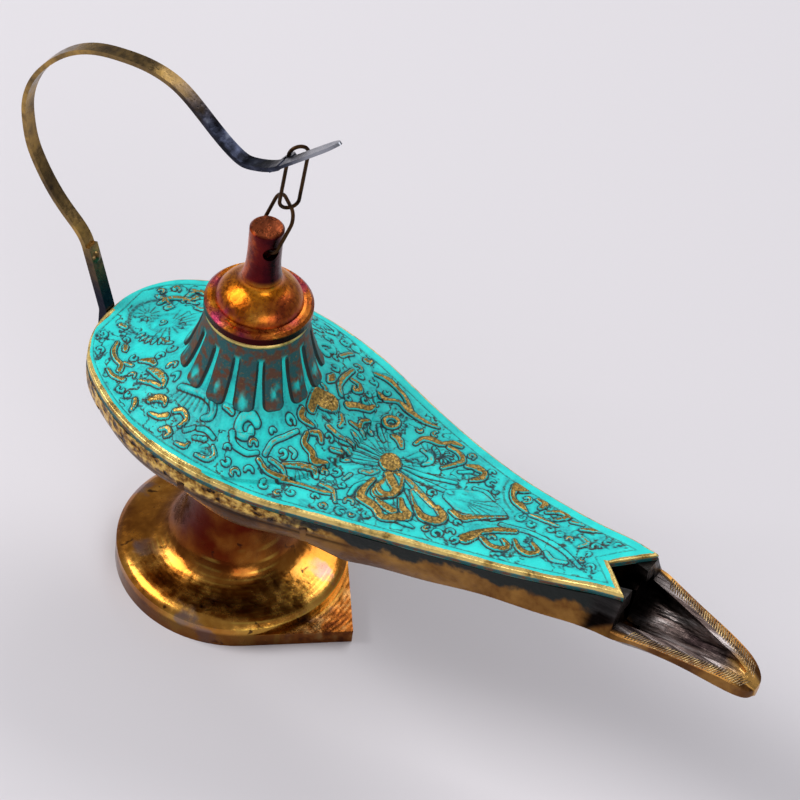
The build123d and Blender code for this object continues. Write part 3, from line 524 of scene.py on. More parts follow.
def rim_curve(count):
    """Outline of the cover, counter-clockwise from the notch, with its height: rows of x, y, z."""
    side = curve_through(RIM, FINE_SAMPLES)
    side[:, 1] = np.maximum(side[:, 1], 0)
    notch = np.array([[NOTCH_APEX, 0, 0], RIM[-1]])
    notch[0, 2] = np.interp(NOTCH_APEX, [r[0] for r in RIM], [r[2] for r in RIM])
    left = np.vstack([notch, side[::-1][1:]])
    right = left[::-1][1:-1] * [1, -1, 1]
    loop = np.vstack([left, right, left[:1]])
    run = length_along(loop[:, :2])
    at = np.linspace(0, run[-1], count + 1)[:-1]
    corner = run[1]
    for value in (corner, run[-1] - corner):
        at[np.argmin(np.abs(at - value))] = value
    return np.stack([np.interp(at, run, loop[:, k]) for k in range(3)], axis=1)


def sheer(x):
    """Height of the rim at x."""
    line = curve_through(RIM, RIM_SAMPLES)
    return np.interp(x, line[:, 0], line[:, 2])


def half_width(x):
    line = curve_through(RIM, RIM_SAMPLES)
    return np.interp(x, line[:, 0], np.maximum(line[:, 1], 0))


def neck_height_at(radius):
    """Height of the neck's outside at a radius, and 0 beyond its foot."""
    line = curve_through(NECK, NECK_SAMPLES)
    return np.interp(radius, line[:, 0], line[:, 1], right=0)


def border_distance(x, y):
    """Distance in from the rim of the cover, about right near it."""
    side = (half_width(x) - np.abs(y)) * SIDE_SLANT
    back = np.abs(x - RIM[0][0])
    corner_x, corner_y = RIM[-1][:2]
    notch = ((NOTCH_APEX + np.abs(y) * (corner_x - NOTCH_APEX) / corner_y) - x) * NOTCH_SLANT
    return np.minimum(np.minimum(side, back), notch)


# Flutes: half the plain ridge between two as a share of the pitch and its gain low down, the slope
# and corner of a flute's foot, where its marks fade, and the turquoise blot on it
RIDGE_HALF = 0.105
RIDGE_GAIN = 0.045
RIDGE_GAIN_HEIGHTS = (80, 71)
FOOT_SLOPE = 1.25
FLUTE_CORNER = 1.7
FLUTE_DEEP = 3
FLUTE_SIDE = (-0.25, 0.55)
FLUTE_LINE_START = (-0.30, -0.02)
FLUTE_LINE_END = (0.12, 0.75)
FLUTE_LEVEL = 0.62
GRAIN_STRETCH = (12, 3.1, 0.32)
GRAIN_NOISE = (1.0, 5)
BLOT_HEIGHT = (73.4, 2.2)
BLOT_HALF = (1.5, 2.2)
BLOT_SEEDS = (8, 3)
BLOT_GRAIN = (0.30, 0.80)
BLOT_CHANCE = (0.5, 0.15)


def flute_marks(angle, radius, z):
    """Relief, brown share, dark outline and grain of the flutes round the neck at one height."""
    pitch = 2 * math.pi / FLUTES
    turns = (angle - math.radians(FLUTE_TURN)) / pitch
    which = np.floor(turns)
    from_middle = np.abs((turns % 1) - 0.5) * pitch * radius
    half = pitch * radius * (0.5 - RIDGE_HALF - RIDGE_GAIN * smooth(*RIDGE_GAIN_HEIGHTS, z))
    from_side = half - from_middle
    from_foot = np.full_like(angle, (z - FLUTE_FOOT) * FOOT_SLOPE)
    corner = FLUTE_CORNER
    inside = corner - np.hypot(np.maximum(corner - from_side, 0), np.maximum(corner - from_foot, 0))
    inside = np.where((from_side > corner) | (from_foot > corner),
                      np.minimum(np.minimum(from_side, from_foot), FLUTE_DEEP), inside)
    body = smooth(*FLUTE_SIDE, inside)
    above = float(smooth(*FLUTE_FADE, z))
    along, apart, down = GRAIN_STRETCH
    grain = layered_noise(angle * along + which * apart, np.full_like(angle, z * down), *GRAIN_NOISE)
    off_middle = from_middle / BLOT_HALF[0]
    off_height = z - BLOT_HEIGHT[0] - BLOT_HEIGHT[1] * hashed(which, which, BLOT_SEEDS[0])
    chance = BLOT_CHANCE[0] * hashed(which, which, BLOT_SEEDS[1])
    blot = np.exp(-(off_middle ** 2) - (off_height / BLOT_HALF[1]) ** 2)
    turquoise = blot * smooth(*BLOT_GRAIN, grain + chance - BLOT_CHANCE[1])
    panel = np.maximum(body, above)
    outline = smooth(*FLUTE_LINE_START, inside) * (1 - smooth(*FLUTE_LINE_END, inside)) * (1 - above)
    return FLUTE_RELIEF * (panel - FLUTE_LEVEL), panel * (1 - turquoise), outline, grain


MARKS = ("gold", "dark", "shade", "flute", "strip")
# Points round the cover, rows on its neck and rows on its plate, when quick and in full
AROUND = (520, 900)
NECK_ROWS = (56, 88)
PLATE_ROWS = (130, 214)


def detail(counts):
    return counts[1]


class Cover:
    """Rows of points round the cover, with the marks that its patina goes by."""

    def __init__(self, rim):
        self.rim = rim
        self.angle = np.arctan2(rim[:, 1], rim[:, 0])
        self.cos, self.sin = np.cos(self.angle), np.sin(self.angle)
        self.rows = []
        self.marks = {name: [] for name in MARKS}

    def add(self, x, y, z, **values):
        self.rows.append(np.stack([x, y, z], axis=1))
        for name in MARKS:
            self.marks[name].append(np.broadcast_to(values.get(name, 0.0), x.shape).astype(float))

    def circle(self, radius, z, **values):
        self.add(self.cos * radius, self.sin * radius, np.full_like(self.cos, z), **values)


# Bore and lip: heights in the bore, which is painted dark as shade, then the lip's section as radius and
# height
LIP_ROUND = 0.35
BORE_SHADE = 0.6
BORE_HEIGHTS = (HOLLOW_TOP + 0.1, NECK_TOP - 1.6, NECK_TOP - 0.3)
LIP_SECTION = [
    (BORE_RADIUS + 0.3, NECK_TOP), (LIP_RADIUS - LIP_ROUND, NECK_TOP), (LIP_RADIUS, NECK_TOP - LIP_ROUND),
    (LIP_RADIUS, NECK_TOP - LIP_HEIGHT + 0.2), (NECK_RADIUS + 0.15, NECK_TOP - LIP_HEIGHT),
]
# Neck: where the flutes die away and the ornament starts, and how the ornament leans on its slope
FLUTE_EASE = 3.5
ORNAMENT_EASE = 0.8
ORNAMENT_OUT = 0.5
ORNAMENT_UP = 0.85
GRAIN_SHADE = (0.45, 0.75)
GRAIN_SHADE_SHARE = 0.7


def add_neck(cover):
    """Bore, lip and fluted neck, down to the circle where the plate's own rows start."""
    for z in BORE_HEIGHTS:
        # painted shade inside the bore
        cover.circle(BORE_RADIUS, z, dark=BORE_SHADE)
    for radius, z in LIP_SECTION:
        cover.circle(radius, z, gold=1.0, strip=1.0)
    cos, sin = cover.cos, cover.sin
    line = curve_through(NECK, FINE_SAMPLES)
    line = line[:np.argmax(line[:, 0] > GRID_CIRCLE)]
    run = length_along(line)
    for at in np.linspace(0, run[-1], detail(NECK_ROWS)):
        radius = float(np.interp(at, run, line[:, 0]))
        z = float(np.interp(at, run, line[:, 1]))
        lift, brown, outline, grain = flute_marks(cover.angle, radius, z)
        out = radius + lift * float(smooth(GRID_CIRCLE, GRID_CIRCLE - FLUTE_EASE, radius))
        shade = smooth(*GRAIN_SHADE, grain) * GRAIN_SHADE_SHARE
        rise, gold, cut, halo = (np.zeros_like(cos) for _ in range(4))
        if radius > ORNAMENT_FROM:
            rise, gold, cut, halo = stroke_fields(cos * radius, sin * radius, ORNAMENT)
            share = (1 - brown) * float(smooth(ORNAMENT_FROM, ORNAMENT_FROM + ORNAMENT_EASE, radius))
            rise, gold, cut = rise * share, gold * share, cut * share
        out = out + rise * ORNAMENT_OUT
        shade = np.clip(np.maximum(shade, halo) * (1 - brown), 0, 1)
        cover.add(cos * out, sin * out, z + rise * ORNAMENT_UP, flute=brown, gold=gold,
                  dark=np.maximum(outline, cut), shade=shade)


# Plate: the blend of the neck's flare into it, the groove inside its border, its fine scratches and
# ripple, the worn strip along the rim and the mottling. A noise is a size and a seed.
FLARE_BLEND = 1.6
FLARE_BLEND_ENDS = 2.5
FIELD_EDGE = 0.5
GROOVE_IN = 0.25
GROOVE_HALF = 0.32
GROOVE_DARK = 0.55
SCRATCH_NOISE = (2.6, 17)
SCRATCH_FINENESS = 5.5
SCRATCH_PATCHES = (7.0, 23)
PATCHES_FROM = 0.35
SCRATCH_OFF_GOLD = 3
SCRATCH_DEPTH = 0.1
SCRATCH_DARK = 0.8
RIPPLE_NOISE = (1.9, 3)
RIPPLE_RISE = 0.30
STRIP_NOISE = (3.0, 31)
STRIP_VARIES = (0.8, 0.4)
STRIP_FADE = (0.2, 0.25)
MOTTLE_NOISE = (4.5, 41)
MOTTLE_FADE = (0.52, 0.72)
MOTTLE_SHADE = 0.75
MOTTLE_AT_BORDER = (0.4, 0.6)
STROKE_SHADE = 0.9


def plate_ground(x, y):
    """Height of the bare plate, with the neck's flare blended into the sheer of the rim."""
    base = sheer(np.clip(x, RIM[0][0], RIM[-1][0]))
    collar = neck_height_at(np.hypot(x, y))
    apart = np.abs(base - collar)
    step = np.hypot(base - collar, FLARE_BLEND)
    surplus = 0.5 * (step - apart) * smooth(0, FLARE_BLEND_ENDS, apart)
    return np.where(collar > 0, 0.5 * (base + collar + step) - surplus, base)


def add_plate(cover):
    """Ornamented plate, from the neck's foot out to the rim."""
    part = np.linspace(0, 1, detail(PLATE_ROWS))[1:, None]
    x, y = (start * GRID_CIRCLE + (end - start * GRID_CIRCLE) * part
            for start, end in ((cover.cos, cover.rim[:, 0]), (cover.sin, cover.rim[:, 1])))
    inward = border_distance(x, y)
    fields = stroke_fields(x.ravel(), y.ravel(), ORNAMENT)
    height, gold, dark, shade = (field.reshape(x.shape) for field in fields)
    field = smooth(BORDER_WIDTH, BORDER_WIDTH + FIELD_EDGE, inward)
    groove = np.exp(-((inward - BORDER_WIDTH - GROOVE_IN) / GROOVE_HALF) ** 2)
    scratch = 1 - np.abs(2 * layered_noise(x, y, *SCRATCH_NOISE) - 1) * SCRATCH_FINENESS
    scratch = np.clip(scratch, 0, 1) * (value_noise(x, y, *SCRATCH_PATCHES) > PATCHES_FROM) \
        * (1 - np.clip(gold * SCRATCH_OFF_GOLD, 0, 1))
    ripple = (layered_noise(x, y, *RIPPLE_NOISE) - 0.5) * RIPPLE_RISE
    strip_width = np.where(y < 0, NEAR_STRIP, FAR_STRIP)
    strip_width = strip_width * varied(STRIP_VARIES, value_noise(x, y, *STRIP_NOISE))
    strip = 1 - smooth(strip_width - STRIP_FADE[0], strip_width + STRIP_FADE[1], inward)
    lift = (height + ripple) * field - RECESS * groove - SCRATCH_DEPTH * scratch * field
    fall = 1 - np.sqrt(np.clip(1 - (1 - np.clip(inward / EDGE_ROUND, 0, 1)) ** 2, 0, 1))
    z = plate_ground(x, y) + lift - EDGE_ROUND * fall
    mottle = smooth(*MOTTLE_FADE, layered_noise(x, y, *MOTTLE_NOISE))
    drawn = np.maximum(groove * GROOVE_DARK, scratch * field * SCRATCH_DARK)
    dark = np.clip(np.maximum(dark * field, drawn), 0, 1)
    mottle = mottle * MOTTLE_SHADE * varied(MOTTLE_AT_BORDER, field)
    shade = np.clip(np.maximum(shade * field * STROKE_SHADE, mottle), 0, 1)
    gold = np.clip(np.maximum(gold * field, strip), 0, 1)
    for k in range(len(x)):
        cover.add(x[k], y[k], z[k], gold=gold[k], dark=dark[k] * (1 - strip[k]), shade=shade[k],
                  strip=strip[k])


# Rim wall as shares of the thickness, with how bright each row is and how much painted shadow, dark
# under the plate's edge, it carries. Then the rows of the underside, painted dark as shade, up to the
# circle under the neck, and the hollow of the neck, painted the same, as radius and height.
RIM_WALL = [(0.38, 1.0, 0.0), (0.5, 0.2, 0.8), (0.8, 0.1, 1.0), (1.0, 0.4, 0.6)]
RIM_SHADOW_DARK = 0.3
UNDERSIDE_ROWS = 16
UNDERSIDE_CIRCLE = 26.0
UNDERSIDE_SHADE = 0.7
HOLLOW = [
    (24.5, 61.5), (20.6, 65.0), (16.5, 67.6), (13.9, 70.9), (12.1, 75.5), (10.7, 80.7),
    (BORE_RADIUS + 0.15, HOLLOW_TOP - 0.3),
]


def add_underside(cover):
    """Rim wall with painted shadow below its bright edge, underside and the hollow of the neck painted
    dark as shade, back to the bore.
    """
    rim_x, rim_y, rim_z = cover.rim.T
    for down, bright, shadow_share in RIM_WALL:
        # painted shadow on the lower rows of the wall, in the flute panels' brown and black
        cover.add(rim_x, rim_y, rim_z - COVER_THICKNESS * down, gold=bright, strip=bright, flute=shadow_share,
                  dark=shadow_share * RIM_SHADOW_DARK)
    for inner in np.linspace(0, 1, UNDERSIDE_ROWS)[1:]:
        x = rim_x + (cover.cos * UNDERSIDE_CIRCLE - rim_x) * inner
        y = rim_y + (cover.sin * UNDERSIDE_CIRCLE - rim_y) * inner
        z = sheer(np.clip(x, RIM[0][0], RIM[-1][0])) - COVER_THICKNESS
        # underside painted dark as shade
        cover.add(x, y, z, dark=UNDERSIDE_SHADE)
    for radius, z in HOLLOW:
        cover.circle(radius, z, dark=UNDERSIDE_SHADE)


def make_cover():
    """The cover with its neck, as one closed mesh: from the bore over the lip, the flutes and the
    ornament to the rim, and back along the underside."""
    cover = Cover(rim_curve(detail(AROUND)))
    add_neck(cover)
    add_plate(cover)
    add_underside(cover)
    points = np.array(cover.rows)
    count, width = points.shape[:2]
    index = np.arange(count * width).reshape(count, width)
    beside = np.roll(index, -1, axis=1)
    faces = np.stack([index, beside, np.roll(beside, -1, axis=0), np.roll(index, -1, axis=0)], axis=-1)
    mesh = bpy.data.meshes.new("cover_relief")
    mesh.from_pydata((points.reshape(-1, 3) * MM).tolist(), [], faces.reshape(-1, 4).tolist())
    for name in MARKS:
        layer = mesh.attributes.new(name, "FLOAT", "POINT")
        layer.data.foreach_set("value", np.concatenate(cover.marks[name]).astype(np.float32))
    return add_object("cover_relief", mesh)


def add_object(name, mesh):
    """A smooth piece of its own in the scene."""
    mesh.polygons.foreach_set("use_smooth", [True] * len(mesh.polygons))
    mesh.update()
    piece = bpy.data.objects.new(name, mesh)
    bpy.context.scene.collection.objects.link(piece)
    return piece


# Rim of the spout's trough: x, inner and outer half width
TROUGH_RIM = [
    (111.6, 8.2, 11.4), (119.0, 6.9, 9.5), (126.0, 5.0, 7.8), (132.0, 3.2, 6.3), (137.0, 1.6, 4.8),
    (139.6, 0.5, 3.6),
]
# Ridges across it: pitch, half width, rise, sink of their feet, slant towards the tip, share of the
# rise's arc that is used, steps along a ridge and angles round its top
REED_PITCH = 0.72
REED_FIRST = 0.4
REED_HALF = 0.27
REED_RISE = 0.20
REED_SINK = 0.06
REED_SLANT = 1.2
REED_ARC = (0.07, 0.86)
REED_STEPS = 6
REED_TURNS = (-90, -45, 0, 45, 90)
# Rays fall on the bowl from a height. One that ends below the trough's floor has missed the rim, and
# a height inside the bowl's wall is taken.
RAY_FROM = 75.0
TROUGH_FLOOR = 50.0
MISSED_HEIGHT = 55.0


def ridge(surface, x, side, inner, outer, along):
    """Rings of points of one ridge, from the outer edge of the trough's rim to the inner."""
    points = []
    for k in range(REED_STEPS):
        share = k / (REED_STEPS - 1)
        y = side * (outer + (inner - outer) * share)
        shift = REED_SLANT * share
        above = Vector(((x + shift) * MM, y * MM, RAY_FROM * MM))
        hit = surface.ray_cast(above, Vector((0, 0, -1)))[0]
        z = hit.z / MM if hit and hit.z / MM > TROUGH_FLOOR else MISSED_HEIGHT
        arc = min(max(share * REED_ARC[1] + REED_ARC[0], 0), 1)
        swell = REED_RISE * math.sin(math.pi * arc) ** 0.5
        for turn in REED_TURNS:
            w = REED_HALF * math.sin(math.radians(turn))
            h = swell * math.cos(math.radians(turn)) - REED_SINK
            points.append(((x + shift + along.x * w) * MM, (y + along.y * w) * MM, (z + h) * MM))
    return points


def ridge_faces(first):
    """Faces of a closed ridge whose points start at that index."""
    sides = len(REED_TURNS)
    faces = []
    for k in range(REED_STEPS - 1):
        start = first + k * sides
        for a in range(start, start + sides - 1):
            faces.append((a, a + 1, a + sides + 1, a + sides))
        faces.append((start, start + sides, start + 2 * sides - 1, start + sides - 1))
    last = first + (REED_STEPS - 1) * sides
    faces.append(tuple(range(first, first + sides)))
    faces.append(tuple(range(last + sides - 1, last - 1, -1)))
    return faces


def make_reeding(bowl):
    """Small ridges across the rim of the trough, laid on the bowl's own surface."""
    surface = BVHTree.FromPolygons([v.co[:] for v in bowl.data.vertices],
                                   [p.vertices[:] for p in bowl.data.polygons])
    table = curve_through(TROUGH_RIM, RIM_SAMPLES)
    run = length_along(table[:, [0, 2]])
    verts, faces = [], []
    for side in (-1, 1):
        for at in np.arange(REED_FIRST, run[-1], REED_PITCH):
            x, inner, outer = (float(np.interp(at, run, table[:, k])) for k in range(3))
            ahead = [float(np.interp(min(at + 1, run[-1]), run, table[:, k])) for k in (0, 2)]
            along = Vector((ahead[0] - x, side * (ahead[1] - outer), 0)).normalized()
            faces += ridge_faces(len(verts))
            verts += ridge(surface, x, side, inner, outer, along)
    mesh = bpy.data.meshes.new("spout_reeding")
    mesh.from_pydata(verts, [], faces)
    edited = bmesh.new()
    edited.from_mesh(mesh)
    bmesh.ops.recalc_face_normals(edited, faces=edited.faces)
    edited.to_mesh(mesh)
    edited.free()
    return add_object("spout_reeding", mesh)


def srgb(red, green, blue):
    """A colour as it shows on screen, from 0 to 255, in the linear values that Blender takes."""
    linear = []
    for channel in (red, green, blue):
        c = channel / 255
        linear.append(c / 12.92 if c <= 0.04045 else ((c + 0.055) / 1.055) ** 2.4)
    return (*linear, 1.0)


# Sockets of the Mix node when it mixes colours
MIX_INPUTS = (0, 6, 7)
MIX_RESULT = 2


class Shader:
    """A Principled material with short calls for the nodes that these metals share."""

    def __init__(self, name):
        self.material = bpy.data.materials.new(name)
        self.material.use_nodes = True
        self.tree = self.material.node_tree
        self.tree.nodes.clear()
        self.out = self.tree.nodes.new("ShaderNodeOutputMaterial")
        self.bsdf = self.tree.nodes.new("ShaderNodeBsdfPrincipled")
        self.tree.links.new(self.bsdf.outputs["BSDF"], self.out.inputs["Surface"])
        self.place = self.tree.nodes.new("ShaderNodeTexCoord").outputs["Object"]

    def link(self, source, node, socket):
        """Joins a node's output to the socket, or writes a number or a colour there."""
        target = node.inputs[socket]
        if isinstance(source, (int, float)):
            target.default_value = source
        elif isinstance(source, tuple):
            target.default_value = srgb(*source)
        else:
            self.tree.links.new(source, target)

    def set(self, socket, source):
        self.link(source, self.bsdf, socket)

    def noise(self, scale, detail=4.0, stretch=None, distortion=0.0):
        """Noise with that many features to a metre."""
        node = self.tree.nodes.new("ShaderNodeTexNoise")
        node.inputs["Scale"].default_value = scale
        node.inputs["Detail"].default_value = detail
        node.inputs["Distortion"].default_value = distortion
        where = self.place
        if stretch:
            mapping = self.tree.nodes.new("ShaderNodeMapping")
            mapping.inputs["Scale"].default_value = stretch
            self.link(self.place, mapping, "Vector")
            where = mapping.outputs["Vector"]
        self.link(where, node, "Vector")
        return node.outputs["Fac"]

    def axis(self, name):
        node = self.tree.nodes.new("ShaderNodeSeparateXYZ")
        self.link(self.place, node, "Vector")
        return node.outputs[name]

    def attribute(self, name):
        node = self.tree.nodes.new("ShaderNodeAttribute")
        node.attribute_name = name
        return node.outputs["Fac"]

    def math(self, operation, a, b=0.0):
        node = self.tree.nodes.new("ShaderNodeMath")
        node.operation = operation
        self.link(a, node, 0)
        self.link(b, node, 1)
        return node.outputs[0]

    def times(self, a, b):
        return self.math("MULTIPLY", a, b)

    def plus(self, a, b):
        return self.math("ADD", a, b)

    def minus(self, a, b):
        return self.math("SUBTRACT", a, b)

    def from_axis(self, x, y):
        """Distance from the lamp's upright axis."""
        return self.math("SQRT", self.plus(self.times(x, x), self.times(y, y)))

    def span(self, value, low, high, out_low=0.0, out_high=1.0):
        """value mapped smoothly from low..high to out_low..out_high."""
        node = self.tree.nodes.new("ShaderNodeMapRange")
        node.interpolation_type = "SMOOTHSTEP"
        self.link(value, node, "Value")
        for socket, number in (("From Min", low), ("From Max", high), ("To Min", out_low),
                               ("To Max", out_high)):
            self.link(number, node, socket)
        return node.outputs["Result"]

    def until(self, value, between, strength=1.0, rest=0.0):
        """strength up to the first of two values, falling to rest at the second."""
        return self.span(value, *between, strength, rest)

    def mix(self, factor, a, b):
        node = self.tree.nodes.new("ShaderNodeMix")
        node.data_type = "RGBA"
        for source, socket in zip((factor, a, b), MIX_INPUTS):
            self.link(source, node, socket)
        return node.outputs[MIX_RESULT]

    def ramp(self, value, stops):
        node = self.tree.nodes.new("ShaderNodeValToRGB")
        self.link(value, node, "Fac")
        elements = node.color_ramp.elements
        while len(elements) < len(stops):
            elements.new(0.5)
        for element, (place, colour) in zip(elements, stops):
            element.position = place
            element.color = srgb(*colour)
        return node.outputs["Color"]

    def bump(self, height, strength, distance, under=None):
        node = self.tree.nodes.new("ShaderNodeBump")
        node.inputs["Strength"].default_value = strength
        node.inputs["Distance"].default_value = distance
        self.link(height, node, "Height")
        if under is not None:
            self.link(under, node, "Normal")
        return node.outputs["Normal"]


# Colours as they show on screen, from 0 to 255
TURQUOISE = (10, 206, 200)
TURQUOISE_PALE = (26, 222, 214)
TEAL = (6, 138, 146)
TEAL_DARK = (8, 52, 60)
OUTLINE_BROWN = (44, 34, 22)
GOLD_WORN = (176, 140, 66)
GOLD_OLIVE = (104, 84, 42)
GOLD_PALE = (226, 196, 118)
FLUTE_BROWN = (86, 44, 18)
FLUTE_TEAL = (6, 74, 78)
NEAR_BLACK = (14, 9, 8)

# Bump depths in metres
PATINA_GRAIN = 0.0004
METAL_GRAIN = 0.0003
HAMMER_DEPTH = 0.0012
TURNING_DEPTH = 0.0002


def patina():
    """Turquoise over cast brass, outlined and shaded by the cover's marks and worn to gold by them."""
    m = Shader("turquoise_patina")
    gold, dark, shade, flute, strip = (m.attribute(name) for name in MARKS)
    coarse = m.noise(230, 5)
    fine = m.noise(1500, 4)
    paint = m.mix(m.span(coarse, 0.35, 0.7), TURQUOISE, TURQUOISE_PALE)
    paint = m.mix(m.times(m.span(fine, 0.60, 0.78), 0.6), paint, TEAL)
    paint = m.mix(m.times(shade, m.span(fine, 0.28, 0.68, 0.35, 1.0)), paint, TEAL)
    outline = m.mix(m.span(coarse, 0.42, 0.58), TEAL_DARK, OUTLINE_BROWN)
    drawn = m.times(dark, m.span(fine, 0.2, 0.6, 0.7, 1.15))
    paint = m.mix(m.span(drawn, 0.22, 0.8), paint, outline)
    panel = m.mix(m.span(m.noise(420, 4), 0.44, 0.60), FLUTE_TEAL, FLUTE_BROWN)
    panel = m.mix(m.span(fine, 0.56, 0.75), panel, GOLD_OLIVE)
    panel = m.mix(m.span(dark, 0.25, 0.8), panel, NEAR_BLACK)
    body = m.mix(m.span(flute, 0.12, 0.95), paint, panel)
    metal = m.mix(m.span(fine, 0.35, 0.65), GOLD_OLIVE, GOLD_WORN)
    metal = m.mix(m.times(strip, m.span(coarse, 0.32, 0.55)), metal, GOLD_PALE)
    worn = m.span(m.times(m.span(fine, 0.26, 0.6, 0.5, 1.1), gold), 0.33, 0.52)
    m.set("Base Color", m.mix(worn, body, metal))
    m.set("Metallic", m.times(worn, 0.7))
    m.set("Roughness", m.minus(0.60, m.times(worn, 0.24)))
    m.set("Normal", m.bump(fine, 0.35, PATINA_GRAIN))
    return m.material


# Plain metals and the grounds of the others: colour stops, features to a metre, roughness range and
# strength of the bump
METALS = {
    "bowl_brass": ([(0.30, (40, 22, 12)), (0.48, (104, 66, 32)), (0.72, (176, 130, 66))],
                   60, (0.26, 0.48), 0.4),
    "foot_brass": ([(0.30, (110, 56, 18)), (0.48, (176, 112, 40)), (0.70, (214, 160, 76))],
                   46, (0.12, 0.32), 0.2),
    "lid_copper": ([(0.30, (92, 34, 8)), (0.44, (166, 84, 14)), (0.56, (212, 128, 30)),
                    (0.72, (240, 176, 70))], 120, (0.2, 0.4), 0.3),
    "strap_brass": ([(0.32, (56, 46, 40)), (0.5, (122, 98, 60)), (0.7, (196, 156, 84))],
                    90, (0.2, 0.4), 0.3),
    "plain_brass": ([(0.3, (110, 76, 34)), (0.5, (176, 134, 66)), (0.7, (222, 184, 104))],
                    70, (0.2, 0.4), 0.3),
    "chain_wire": ([(0.3, (22, 14, 10)), (0.7, (84, 58, 34))], 300, (0.35, 0.6), 0.3),
    "reed_brass": ([(0.34, (60, 44, 34)), (0.5, (140, 116, 88)), (0.66, (214, 184, 128))],
                   400, (0.25, 0.45), 0.3),
}
FINE_TO_COARSE = 9


def aged_metal(name):
    """A worn metal whose colour wanders through its stops."""
    stops, scale, roughness, bump = METALS[name]
    m = Shader(name)
    wander = m.noise(scale, 6, None, 0.4)
    m.fine = m.noise(scale * FINE_TO_COARSE, 4)
    m.colour = m.ramp(m.plus(m.times(wander, 0.8), m.times(m.fine, 0.2)), stops)
    m.set("Base Color", m.colour)
    m.set("Metallic", 1.0)
    m.set("Roughness", m.span(m.fine, 0.2, 0.8, *roughness))
    m.set("Normal", m.bump(m.fine, bump, METAL_GRAIN))
    return m


# Marks of the bowl in metres. The rim line climbs with the square of the way past its first place. A
# pair is where a mark starts and ends to fade, below that line or along X where not said otherwise.
RIM_LINE = 0.0595
CLIMB_FROM = 0.04
CLIMB = 2.05
BAND_BELOW = (0.0030, 0.0044)
BAND_ALONG = (0.030, 0.045)
LINE_TOP_BELOW = (0.0040, 0.0047)
LINE_FOOT_BELOW = (0.0047, 0.0058)
LINE_ALONG = (0.04, 0.05)
SPILL_DEPTH = (0.010, -0.0015)
SPILL_EDGE = (-0.0008, 0.0012)
SPILL_FROM = (0.022, 0.036)
SPILL_TO = (0.107, 0.112)
KEEL_SHADE_BELOW = (0.013, 0.022)
KEEL_SHADE_ALONG = (0.09, 0.10)
TIP_FROM = (0.132, 0.140)
NOTCH_SHADE_TO = (0.106, 0.118)
TROUGH_FROM = (0.100, 0.1035)
TROUGH_END = 0.1415
TROUGH_TAPER = 0.29
TROUGH_SIDE = (-0.0022, -0.0012)
TROUGH_SLOPE = (0.11, 0.1)
TROUGH_HEIGHT = (0.0525, 0.0535)
HAMMERED = [(0.36, (30, 16, 10)), (0.47, (150, 108, 48)), (0.62, (236, 196, 106))]
TROUGH_STREAKS = [(0.36, (34, 26, 26)), (0.50, (98, 84, 80)), (0.66, (168, 158, 156))]


def bowl_metal():
    """Browned brass: hammered gold under the rim, black tarnish towards the spout, painted shade towards
    the bottom, a streaked trough with painted shade under the notch.
    """
    m = aged_metal("bowl_brass")
    x, y, z = (m.axis(name) for name in "XYZ")
    forward = m.math("MAXIMUM", m.minus(x, CLIMB_FROM), 0.0)
    below = m.minus(m.plus(m.times(m.times(forward, forward), CLIMB), RIM_LINE), z)
    dents = m.noise(520, 3)
    band = m.times(m.until(below, BAND_BELOW), m.until(x, BAND_ALONG))
    colour = m.mix(band, m.colour, m.ramp(dents, HAMMERED))
    line = m.times(m.span(below, *LINE_TOP_BELOW), m.until(below, LINE_FOOT_BELOW))
    colour = m.mix(m.times(line, m.until(x, LINE_ALONG, 0.7)), colour, NEAR_BLACK)
    spill = m.plus(m.times(m.noise(170, 4), SPILL_DEPTH[0]), SPILL_DEPTH[1])
    spill = m.span(m.minus(spill, below), *SPILL_EDGE)
    spill = m.times(m.times(spill, m.span(x, *SPILL_FROM)), m.until(x, SPILL_TO))
    colour = m.mix(spill, colour, (10, 18, 15))
    # painted shade, dark brown, low on the bowl under its lobes
    keel_shade = m.times(m.span(below, *KEEL_SHADE_BELOW), m.until(x, KEEL_SHADE_ALONG, 0.75))
    colour = m.mix(keel_shade, colour, (34, 20, 12))
    # trough: grey brown streaks along it, gold at the tip and painted shade, black, under the notch
    streak = m.noise(520, 5, (0.05, 1.0, 0.6))
    trough = m.ramp(streak, TROUGH_STREAKS)
    trough = m.mix(m.span(x, *TIP_FROM), trough, (196, 148, 78))
    trough = m.mix(m.until(x, NOTCH_SHADE_TO), trough, NEAR_BLACK)
    inner = m.minus(m.times(m.minus(TROUGH_END, x), TROUGH_TAPER), m.math("ABSOLUTE", y))
    within = m.times(m.span(inner, *TROUGH_SIDE), m.span(x, *TROUGH_FROM))
    level = m.plus(z, m.times(m.minus(x, TROUGH_SLOPE[0]), TROUGH_SLOPE[1]))
    within = m.times(within, m.span(level, *TROUGH_HEIGHT))
    m.set("Base Color", m.mix(within, colour, trough))
    m.set("Metallic", m.minus(1.0, m.times(spill, 0.5)))
    bumps = m.plus(m.times(dents, m.math("MAXIMUM", band, 0.12)), m.times(streak, m.times(within, 0.8)))
    m.set("Normal", m.bump(bumps, 0.8, HAMMER_DEPTH, m.bump(m.fine, 0.4, METAL_GRAIN)))
    return m.material


# Marks of the foot in metres, by distance from the axis or by height, and the turning lines in
# radians to a metre
REFLECTION_WITHIN = (0.013, 0.021)
REFLECTION_TO_HEIGHT = (0.026, 0.033)
TURNING_LINES = 5200.0
SMEAR_FROM = (0.018, 0.026)
TOE_FROM = (0.0295, 0.0325)
LIP_SHADE_TO_HEIGHT = (0.0035, 0.0048)
TOE_COLOURS = [(0.34, (104, 50, 18)), (0.5, (184, 106, 38)), (0.70, (226, 176, 108))]


